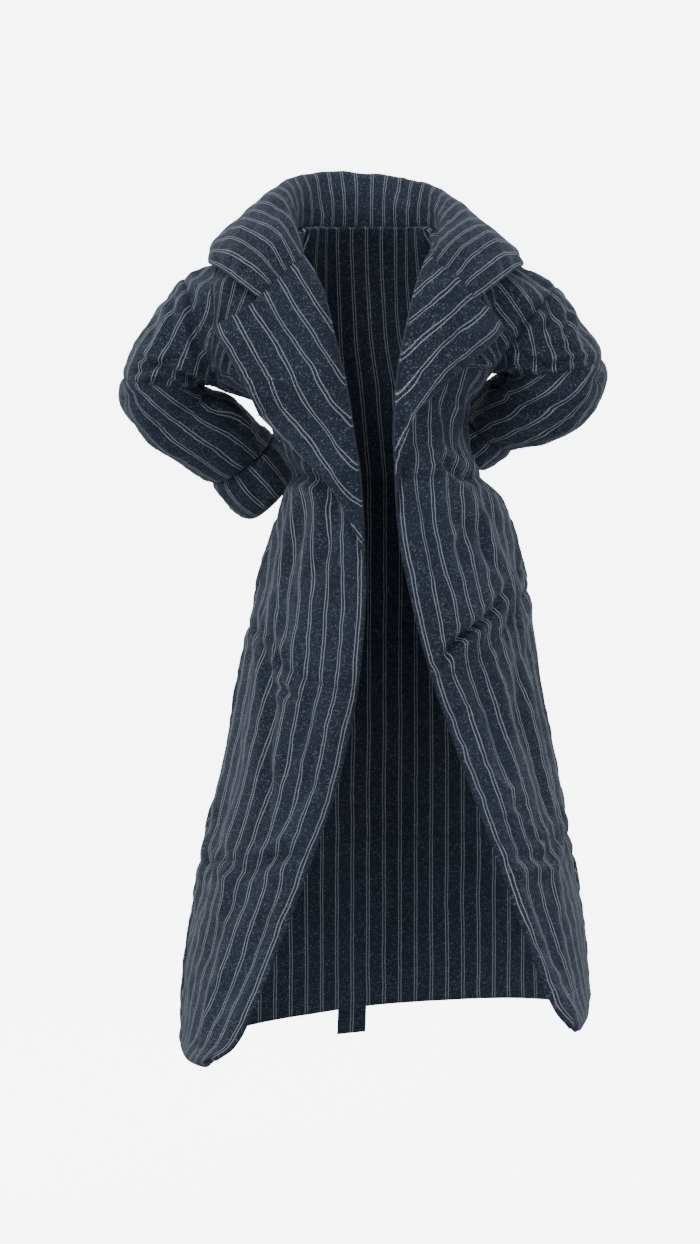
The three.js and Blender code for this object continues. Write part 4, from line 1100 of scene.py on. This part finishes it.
def collar_cloth(places, shares):
    """The collar's outer and inner points."""
    surface = collar_surface()
    place, across = np.meshgrid(2 * places - 1, shares, indexing="ij")
    point = surface(place, across)
    normal = normal_of(surface, np.clip(place, -0.95, 0.95), np.clip(across, 0.04, 0.94), 1, (-1, 1), (0, 1))
    # The raised right half comes down again to the neckline that it is sewn to.
    down = smoothstep(-place, 0.02, 0.2) * (1 - smoothstep(-place, 0.75, 0.95)) * (1 - smoothstep(across, 0, 0.22))
    point = point - xyz(0, 0, 17 * down)
    u, v = arc(point, 0), arc(point, 1)
    tall = u[-1:]
    from_base, from_leaf, from_notch = v, v[:, -1:] - v, np.minimum(u, tall - u)
    swell = edge_swell(from_base) * edge_swell(from_leaf) * edge_swell(from_notch)
    puckers = 1.6 * gathers(u, from_leaf, 81, 24, 27) + 2.2 * gathers(u, from_base, 82, 32, 19)
    puckers = puckers + 1.4 * gathers(v, from_notch, 83, 24, 24)
    hills = 1.9 * ripple(u, v, 84, 95) + 0.9 * ripple(u, v, 85, 38)
    depth, slip = crease_field(point[..., 0], point[..., 2], COLLAR_CREASES)
    facing = smoothstep(-normal[..., 1], -0.1, 0.4)
    relief = np.minimum((hills - puckers - depth * facing) * swell - COLLAR_PUFF * (1 - swell), 3)
    outer = point + normal * relief[..., None]
    inner = point - normal * (COLLAR_PUFF + SEAM_WALL)
    # The stripes keep level with the notch, as measured along the fall.
    fall = np.array([np.interp(0.62, shares, row) for row in u])[:, None] + 0 * u
    level = np.where(fall > fall[-1:] / 2, fall[-1:] - fall, fall)
    wobble = 1.2 * ripple(v * 0.5, u, 86, 100) + 0.6 * ripple(u, v, 87, 40) + slip * facing
    return {"outer": outer, "inner": inner, "u": level + wobble + 9, "v": v, "pinned": outline_of(place),
            "seam": np.minimum(from_base, from_leaf + 4)}


def collar(name, spacing):
    """The wide collar, standing round the neck and falling open over the shoulders."""
    return cut(name, collar_cloth, *even_cut(COLLAR_COARSE, COLLAR_CUT, spacing), 1, COLLAR_LOFT,
               lips="bottom top finish")


def on_back(x, height, lift):
    """A point on the back's reference surface at an x, moved out along its own direction."""
    x, height, lift = np.broadcast_arrays(*(np.asarray(a, float) for a in (x, height, lift)))
    middle, half = body_width(height)
    across = np.arccos(np.clip((middle - x) / half, -1, 1)) / np.pi
    level = np.maximum(height, QUILTING[0][2])
    point = back_ring(level, across) + body_normal("back", level, across) * lift[..., None]
    return point + xyz(0, 0, height - level)


def belt_strip(node, x, height, lift, thick, u, v):
    """A thin strip of belt laid over the back: u and v are its size before it was sewn, in millimetres."""
    outer, inner = on_back(x, height, lift + thick), on_back(x, height, lift)
    seam = np.minimum(np.abs(u - u.min()), np.abs(u.max() - u)) + 1
    piece = padded_wall("coat_" + node, outer, inner, u, v, seam, lips=ALL_SIDES, slot="belt_cloth", lip=0.6)
    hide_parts(node)
    wool_for(piece)


class NodeSocketMath:
    """A socket whose arithmetic writes Math nodes, so that a pattern reads as a sum."""

    def __init__(self, sheet, socket):
        self.sheet, self.socket = sheet, socket

    def math(self, kind, *others):
        """Adds a Math node of a kind, fed by this socket and the others."""
        node = self.sheet.nodes.new("ShaderNodeMath")
        node.operation = kind
        for slot, value in zip(node.inputs, (self, *others)):
            if isinstance(value, NodeSocketMath):
                self.sheet.links.new(value.socket, slot)
            else:
                slot.default_value = value
        return NodeSocketMath(self.sheet, node.outputs[0])

    def __rsub__(self, other):
        return (self * -1.0) + other

    def ramp(self, low, high):
        """0 below low, 1 above high and smooth between."""
        node = self.sheet.nodes.new("ShaderNodeMapRange")
        node.interpolation_type = "SMOOTHSTEP"
        self.sheet.links.new(self.socket, node.inputs["Value"])
        node.inputs["From Min"].default_value = low
        node.inputs["From Max"].default_value = high
        return NodeSocketMath(self.sheet, node.outputs["Result"])


for _method, _kind in (("__add__", "ADD"), ("__radd__", "ADD"), ("__sub__", "SUBTRACT"), ("__mul__", "MULTIPLY"),
                       ("__truediv__", "DIVIDE"), ("wrap", "FLOORED_MODULO"), ("sine", "SINE"), ("size", "ABSOLUTE"),
                       ("below", "LESS_THAN"), ("least", "MINIMUM"), ("most", "MAXIMUM")):
    setattr(NodeSocketMath, _method, partialmethod(NodeSocketMath.math, _kind))


class ShaderSheet:
    """A material's node tree, with one method that adds any node."""

    def __init__(self, name):
        self.material = bpy.data.materials.new(name)
        self.material.use_nodes = True
        self.tree = self.material.node_tree
        self.tree.nodes.clear()

    def fill(self, slot, value):
        """Links an input to a socket, or sets it to a plain value."""
        if isinstance(value, (NodeSocketMath, bpy.types.NodeSocket)):
            self.tree.links.new(getattr(value, "socket", value), slot)
        else:
            slot.default_value = value

    def node(self, kind, settings=None, **inputs):
        """Adds a node, makes its settings first, then fills or links its inputs by name."""
        made = self.tree.nodes.new(kind)
        for name, value in (settings or {}).items():
            setattr(made, name, value)
        for name, value in inputs.items():
            self.fill(made.inputs[name.replace("_", " ")], value)
        return made

    def value(self, socket):
        return NodeSocketMath(self.tree, socket)

    def mix(self, share, a, b):
        """Two colours mixed by a share from 0 to 1."""
        made = self.tree.nodes.new("ShaderNodeMix")
        made.data_type = "RGBA"
        # A mix node has one set of inputs for each kind of data, and the colours are its seventh and eighth.
        for number, value in ((0, share), (6, a), (7, b)):
            plain = not isinstance(value, (float, NodeSocketMath, bpy.types.NodeSocket))
            self.fill(made.inputs[number], (*value[:3], 1) if plain else value)
        return made.outputs[2]


def pinstripe_wool(name, cloth):
    """Fulled twill with pale flecks and, every 26 mm, a pinstripe of two dotted threads."""
    sheet = ShaderSheet(name)
    uv = sheet.node("ShaderNodeUVMap", {"uv_map": "cloth"}).outputs["UV"]
    parts = sheet.node("ShaderNodeSeparateXYZ", Vector=uv)
    across, along = (sheet.value(parts.outputs[k]) * 1000.0 for k in ("X", "Y"))
    place = sheet.node("ShaderNodeTexCoord").outputs["Object"]
    sewing = sheet.value(sheet.node("ShaderNodeAttribute", {"attribute_name": "sewing"}).outputs["Fac"]) * 1000.0

    def noise(vector, scale, detail=2.0, roughness=0.5):
        made = sheet.node("ShaderNodeTexNoise", Vector=vector, Scale=scale, Detail=detail, Roughness=roughness)
        return sheet.value(made.outputs[0])

    def specks(scale, size, share):
        """Round specks in a share of the cells of an uneven net."""
        made = sheet.node("ShaderNodeTexVoronoi", Vector=uv, Scale=scale)
        chosen = sheet.node("ShaderNodeSeparateXYZ", Vector=made.outputs["Color"])
        speck = 1.0 - sheet.value(made.outputs["Distance"]).ramp(size * 0.6, size)
        return speck * sheet.value(chosen.outputs["X"]).below(share)

    # The pair of threads, each broken into dots by the twill, on a hand that isn't quite even.
    shaky = (noise(uv, 60.0) - 0.5) * 0.9
    from_stripe = ((across + shaky).wrap(cloth.stripe_pitch * 1000) - cloth.stripe_pitch * 500).size()
    from_thread = (from_stripe - cloth.stripe_pair * 500).size()
    thread = 1.0 - from_thread.ramp(0.3, 0.85)
    dot = ((along + across * 0.8).wrap(cloth.dot_pitch * 1000) / (cloth.dot_pitch * 1000) - 0.5).size()
    dots = 1.0 - dot.ramp(0.22, 0.42) * 0.8
    stripe = thread * dots

    # The twill's fine diagonal, the flecks and the fulled surface.
    twill = ((across + along) * (2 * math.pi / 1.7)).sine() * 0.5 + 0.5
    grain = noise(uv, 900.0, 3.0, 0.7)
    fleck = specks(560.0, 0.55, 0.14)
    fine = specks(950.0, 0.6, 0.2)
    cloud = noise(place, 9.0, 3.0)
    rubbed = noise(place, 38.0, 4.0, 0.6)

    ground = sheet.mix(cloud.ramp(0.35, 0.65), cloth.ground_dark, cloth.ground)
    ground = sheet.mix((grain - 0.3).most(0.0) * 0.9, ground, cloth.ground_light)
    pale = (fleck * 0.42 + fine * 0.3).least(0.6) * (rubbed.ramp(0.3, 0.6) * 0.4 + 0.6)
    ground = sheet.mix(pale, ground, cloth.fleck)
    ground = sheet.mix(twill * 0.10, ground, (0.004, 0.005, 0.009))
    striped = sheet.mix(stripe * 0.86, ground, cloth.thread)
    # Painted shade: near is 1 at a line of sewing and falls to 0 about 7 mm off it, and the colour below is darkened
    # there as if shaded in the seam's hollow. The stitches are a real paler thread.
    near = 1.0 - sewing.ramp(0.5, 7.0)
    stitch = (1.0 - (sewing - 1.6).size().ramp(0.3, 0.8)) * (along.wrap(3.4) / 3.4).below(0.62)
    final = sheet.mix(near * 0.22, striped, (0.006, 0.008, 0.013))
    final = sheet.mix(stitch * 0.35, final, cloth.ground_light)

    height = twill * 0.22 + grain * 0.5 + fleck * 0.35 + stripe * 0.7 - stitch * 0.6
    slubs = noise(place, 55.0, 3.0)
    bump = sheet.node("ShaderNodeBump", Strength=0.55, Distance=0.0005, Height=height)
    soft = sheet.node("ShaderNodeBump", Strength=0.35, Distance=0.003, Height=slubs, Normal=bump.outputs["Normal"])
    surface = sheet.node("ShaderNodeBsdfPrincipled", Base_Color=final, Roughness=0.78 + grain * 0.16 + near * 0.04,
                         Normal=soft.outputs["Normal"])
    surface.inputs["Sheen Weight"].default_value = cloth.sheen
    surface.inputs["Sheen Roughness"].default_value = 0.42
    surface.inputs["Sheen Tint"].default_value = (0.62, 0.72, 0.92, 1)
    surface.inputs["Specular IOR Level"].default_value = 0.2
    sheet.node("ShaderNodeOutputMaterial", Surface=surface.outputs[0])
    return sheet.material


def wool_for(piece):
    """Dresses a piece in the coat's wool, which is made once."""
    name = "pinstripe_wool"
    material = bpy.data.materials.get(name) or pinstripe_wool(name, bpy.context.scene.coat_cloth)
    piece.data.materials.clear()
    piece.data.materials.append(material)


def finish_padded(piece, node):
    """Hides the solid that a padded piece stands for and dresses the piece."""
    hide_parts(node)
    wool_for(piece)


def colour(name, description, *default):
    return FloatVectorProperty(name=name, description=description, subtype="COLOR", default=default, min=0, max=1)


def length(name, description, default):
    return FloatProperty(name=name, description=description, unit="LENGTH", default=default)


class CoatCloth(bpy.types.PropertyGroup):
    """The cloth's colours and the spacing of its stripes."""

    ground: colour("Ground", "Main colour of the wool", 0.0080, 0.0128, 0.0245)
    ground_dark: colour("Shade", "Darker clouds in the wool", 0.0052, 0.0085, 0.0170)
    ground_light: colour("Grain", "Lighter fibres in the wool", 0.024, 0.035, 0.058)
    fleck: colour("Flecks", "Pale flecks", 0.22, 0.245, 0.29)
    thread: colour("Stripe thread", "Colour of the pinstripe's threads", 0.31, 0.327, 0.352)
    stripe_pitch: length("Stripe spacing", "From one pinstripe to the next", 0.026)
    stripe_pair: length("Thread pair", "Between the two threads of a pinstripe", 0.0043)
    dot_pitch: length("Dot spacing", "Between the dots of a thread", 0.0026)
    sheen: FloatProperty(name="Sheen", description="Light caught by the nap at the edges", default=0.09, min=0, max=1)


class CoatSizes(bpy.types.PropertyGroup):
    """How finely the pieces are divided."""

    spacing: length("Face size", "Side of a face of the padded cloth", 0.0047)


class StudioSizes(bpy.types.PropertyGroup):
    """The floor and the light."""

    floor_height: length("Floor", "Height of the floor", -1.5)
    floor_colour: colour("Floor colour", "Colour of the floor and sweep", 0.86, 0.87, 0.89)
    key: FloatProperty(name="Main light", description="Power of the main light in watts", default=66)
    glow: FloatProperty(name="Paper glow", description="How far the lit paper outshines the coat", default=6.5)
    sky: FloatProperty(name="Room light", description="Strength of the light from all round", default=0.78)


def face_size():
    return bpy.context.scene.coat_sizes.spacing * 1000 * 1


class COAT_OT_back(bpy.types.Operator):
    """Cuts the back panel with its channels, folds and puckers"""

    bl_idname = "coat.back"
    bl_label = "Back"

    def execute(self, context):
        finish_padded(body_panel("coat_back", "back", face_size() * 1.2), "back")
        return {"FINISHED"}


class COAT_OT_fronts(bpy.types.Operator):
    """Cuts the two fronts, which hang open and flare to the hem"""

    bl_idname = "coat.fronts"
    bl_label = "Fronts"

    def execute(self, context):
        for side in ("right", "left"):
            finish_padded(body_panel(f"coat_front_{side}", side, face_size()), f"front_{side}")
        return {"FINISHED"}


class COAT_OT_sleeves(bpy.types.Operator):
    """Cuts the upper sleeves, the lower sleeves and the turned cuffs"""

    bl_idname = "coat.sleeves"
    bl_label = "Sleeves and cuffs"

    def execute(self, context):
        for n, side in enumerate(("right", "left")):
            for part, start, finish, proud, seed in (
                ("upper_sleeve", 0, ELBOW_RING, 0, 100),
                ("lower_sleeve", ELBOW_RING, CUFF_RING, 0, 120),
                ("cuff", CUFF_RING, LAST_RING, CUFF_PROUD, 140),
            ):
                node = f"{part}_{side}"
                piece = sleeve_stretch("coat_" + node, side, start, finish, face_size() * 0.82, proud, seed + n)
                finish_padded(piece, node)
        return {"FINISHED"}


class COAT_OT_lapels(bpy.types.Operator):
    """Turns back the two padded lapels"""

    bl_idname = "coat.lapels"
    bl_label = "Lapels"

    def execute(self, context):
        for side in ("right", "left"):
            finish_padded(lapel(f"coat_lapel_{side}", side, face_size() * 0.9), f"lapel_{side}")
        return {"FINISHED"}


class COAT_OT_collar(bpy.types.Operator):
    """Sets the wide padded collar round the neck"""

    bl_idname = "coat.collar"
    bl_label = "Collar"

    def execute(self, context):
        finish_padded(collar("coat_collar", face_size() * 0.9), "collar")
        return {"FINISHED"}


class COAT_OT_belt(bpy.types.Operator):
    """Draws the tie belt across the back, with its loops, knot and two hanging ends"""

    bl_idname = "coat.belt"
    bl_label = "Tie belt"

    def execute(self, context):
        half, wide = BELT_WIDTH / 2, BELT_WIDTH / 1000
        height, x = np.meshgrid(np.linspace(-half, half, 12), np.linspace(*BELT_REACH, 90), indexing="ij")
        level = BELT_HEIGHT + height + 0.8 * ripple(x, height, 5, 70)
        belt_strip("belt_band", x, level, -1.5 + 0.5 * ripple(x, height, 3, 60), BELT_WALL, height + 13, x)
        for side, middle in BELT_LOOPS.items():
            reach, edge = LOOP_LONG / 2, LOOP_WIDE / 2
            along, across = np.meshgrid(np.linspace(-reach, reach, 24), np.linspace(-edge, edge, 5), indexing="ij")
            rise = LOOP_RISE * np.sqrt(np.maximum(np.cos(np.pi * along / LOOP_LONG), 0)) - 0.5
            belt_strip(f"belt_loop_{side}", middle + across, BELT_HEIGHT + along, rise, LOOP_WALL, across + edge, along)
        for name, end in HANGING_ENDS.items():
            rows = np.linspace(0, 1, 160 if name == "long" else 70)
            share, across = np.meshgrid(rows, np.linspace(-half, half, 10), indexing="ij")
            level, down = lerp(end["bottom"], HANGING_TOP, share), 1 - share
            x = lerp(end["end_x"], end["start_x"], share) + 3 * ripple(level, 0 * level, 9 + len(name), 240, 1) * down
            sway = 1.6 * (1 + ripple(level, 0.6 * across, len(name), 210, 2)) * smoothstep(down, 0, 0.1)
            belt_strip(f"belt_end_{name}", x + across, level, 4 - 7 * smoothstep(down, 0.02, 0.2) + sway, BELT_WALL,
                       across + 13, level)
        v, u = np.meshgrid(np.linspace(-1, 1, 44), np.linspace(-1, 1, 48), indexing="ij")
        full = np.sqrt(np.maximum(1 - np.abs(u) ** 3, 0) * np.maximum(1 - np.abs(v) ** 3, 0))
        crossing = bell(u - v, 0.22)
        x, level = KNOT_X + 27 * u * (1 - 0.12 * v * v), BELT_HEIGHT + 25 * v * (1 - 0.12 * u * u)
        turns = 1.6 * np.sin(7 * (u + 0.7 * v)) * full * (u > v) + 1.4 * np.sin(8 * (v + 0.5 * u)) * full * (u <= v)
        top = on_back(x, level, 4 + 3 + 19 * full * (1 - 0.42 * crossing) + turns)
        knot = padded_wall("coat_belt_knot", top, on_back(x, level, 4.0), u * 27 + v * 14, v * 25, 20 + 0 * u,
                           slot="belt_cloth", lips=ALL_SIDES, lip=0.4)
        finish_padded(knot, "belt_knot")
        return {"FINISHED"}


class COAT_OT_studio(bpy.types.Operator):
    """Lays the pale floor and its sweep, hangs the soft lights and sets the camera where the photograph's stood"""

    bl_idname = "coat.studio"
    bl_label = "Studio"

    def execute(self, context):
        studio = context.scene.coat_studio
        turn, radius = np.linspace(0.1, math.pi / 2, 14), 2.5
        rise = [(4 + radius * math.sin(a), radius - radius * math.cos(a)) for a in turn]
        profile = [(-9, 0), (4, 0), *rise, (4 + radius, 9)]
        mesh = bmesh.new()
        lines = [[mesh.verts.new((x, y, studio.floor_height + z)) for y, z in profile] for x in (-14, 14)]
        for k in range(len(profile) - 1):
            mesh.faces.new((lines[0][k], lines[1][k], lines[1][k + 1], lines[0][k + 1])).smooth = True
        bmesh.ops.recalc_face_normals(mesh, faces=mesh.faces)
        sweep = bpy.data.objects.new("studio_floor", bpy.data.meshes.new("studio_floor"))
        context.scene.collection.objects.link(sweep)
        mesh.to_mesh(sweep.data)
        mesh.free()
        sheet = ShaderSheet("studio_paper")
        place = sheet.node("ShaderNodeTexCoord").outputs["Object"]
        tone = sheet.value(sheet.node("ShaderNodeTexNoise", Vector=place, Scale=3.0).outputs[0])
        colour = sheet.mix(tone * 0.06, studio.floor_colour, (0.8, 0.82, 0.85))
        paper = sheet.node("ShaderNodeBsdfPrincipled", Base_Color=colour, Roughness=0.9)
        paper.inputs["Emission Color"].default_value = (0.93, 0.95, 1.0, 1)
        paper.inputs["Emission Strength"].default_value = studio.glow
        sheet.node("ShaderNodeOutputMaterial", Surface=paper.outputs[0])
        sweep.data.materials.append(sheet.material)
        # The paper glows to the eye only, so that it doesn't wash out the dark cloth.
        sweep.visible_diffuse = sweep.visible_glossy = False

        world = bpy.data.worlds.new("studio_room")
        world.use_nodes = True
        room = world.node_tree.nodes["Background"]
        room.inputs["Color"].default_value = (0.93, 0.95, 1.0, 1)
        room.inputs["Strength"].default_value = studio.sky
        context.scene.world = world
        for name, place, aim_height, size, share in (
            ("key", (-1.5, -2.9, 2.0), -0.5, 1.3, 1),
            ("fill", (0.9, -3.6, -0.8), -0.6, 2.4, 0.3),
            ("low_right", (-2.1, -2.6, -1.3), -0.5, 1.6, 0.42),
            ("low_left", (2.1, -2.6, -1.3), -0.5, 1.6, 0.3),
            ("rim_right", (-2.6, 1.2, 0.4), -0.5, 1.8, 0.75),
            ("rim_left", (2.6, 1.2, 0.4), -0.5, 1.8, 0.75),
            ("top", (0, 0.3, 2.6), -0.5, 2.4, 0.5),
        ):
            lamp = bpy.data.lights.new("studio_" + name, "AREA")
            lamp.size, lamp.energy = size, studio.key * share
            light = bpy.data.objects.new("studio_" + name, lamp)
            light.location = place
            x, y, z = np.array((0, 0, aim_height)) - place
            light.rotation_euler = (math.atan2(math.hypot(x, y), -z), 0, math.atan2(y, x) - math.pi / 2)
            context.scene.collection.objects.link(light)

        # The photo's camera: 2200 pixels of focal length on its 1244 pixels of height.
        lens = bpy.data.cameras.new("photo_camera")
        lens.sensor_width, lens.lens = 36, 2200 / 1244 * 36
        lens.clip_start, lens.clip_end = 0.1, 60
        camera = bpy.data.objects.new("photo_camera", lens)
        camera.location = (-0.0255, -3.3, -0.61)
        camera.rotation_euler = (math.pi / 2, 0, 0)
        context.scene.collection.objects.link(camera)
        context.scene.camera = camera
        return {"FINISHED"}


OPERATORS = (COAT_OT_back, COAT_OT_fronts, COAT_OT_sleeves, COAT_OT_lapels, COAT_OT_collar, COAT_OT_belt,
             COAT_OT_studio)


class COAT_PT_panel(bpy.types.Panel):
    """Lists the coat's pieces, sizes and colours"""

    bl_label = "Long padded coat"
    bl_idname = "COAT_PT_panel"
    bl_space_type = "VIEW_3D"
    bl_region_type = "UI"
    bl_category = "Coat"

    def draw(self, context):
        for group in (context.scene.coat_cloth, context.scene.coat_sizes, context.scene.coat_studio):
            box = self.layout.box()
            for name in group.__annotations__:
                box.prop(group, name)
        for operator in OPERATORS:
            self.layout.operator(operator.bl_idname)


CLASSES = (CoatCloth, CoatSizes, StudioSizes, *OPERATORS, COAT_PT_panel)


def register():
    for part in CLASSES:
        bpy.utils.register_class(part)
    bpy.types.Scene.coat_cloth = bpy.props.PointerProperty(type=CoatCloth)
    bpy.types.Scene.coat_sizes = bpy.props.PointerProperty(type=CoatSizes)
    bpy.types.Scene.coat_studio = bpy.props.PointerProperty(type=StudioSizes)


def unregister():
    for name in ("coat_cloth", "coat_sizes", "coat_studio"):
        delattr(bpy.types.Scene, name)
    for part in reversed(CLASSES):
        bpy.utils.unregister_class(part)


def main():
    register()
    for operator in OPERATORS:
        getattr(bpy.ops.coat, operator.bl_idname.split(".")[1])()


if __name__ == "__main__":
    main()
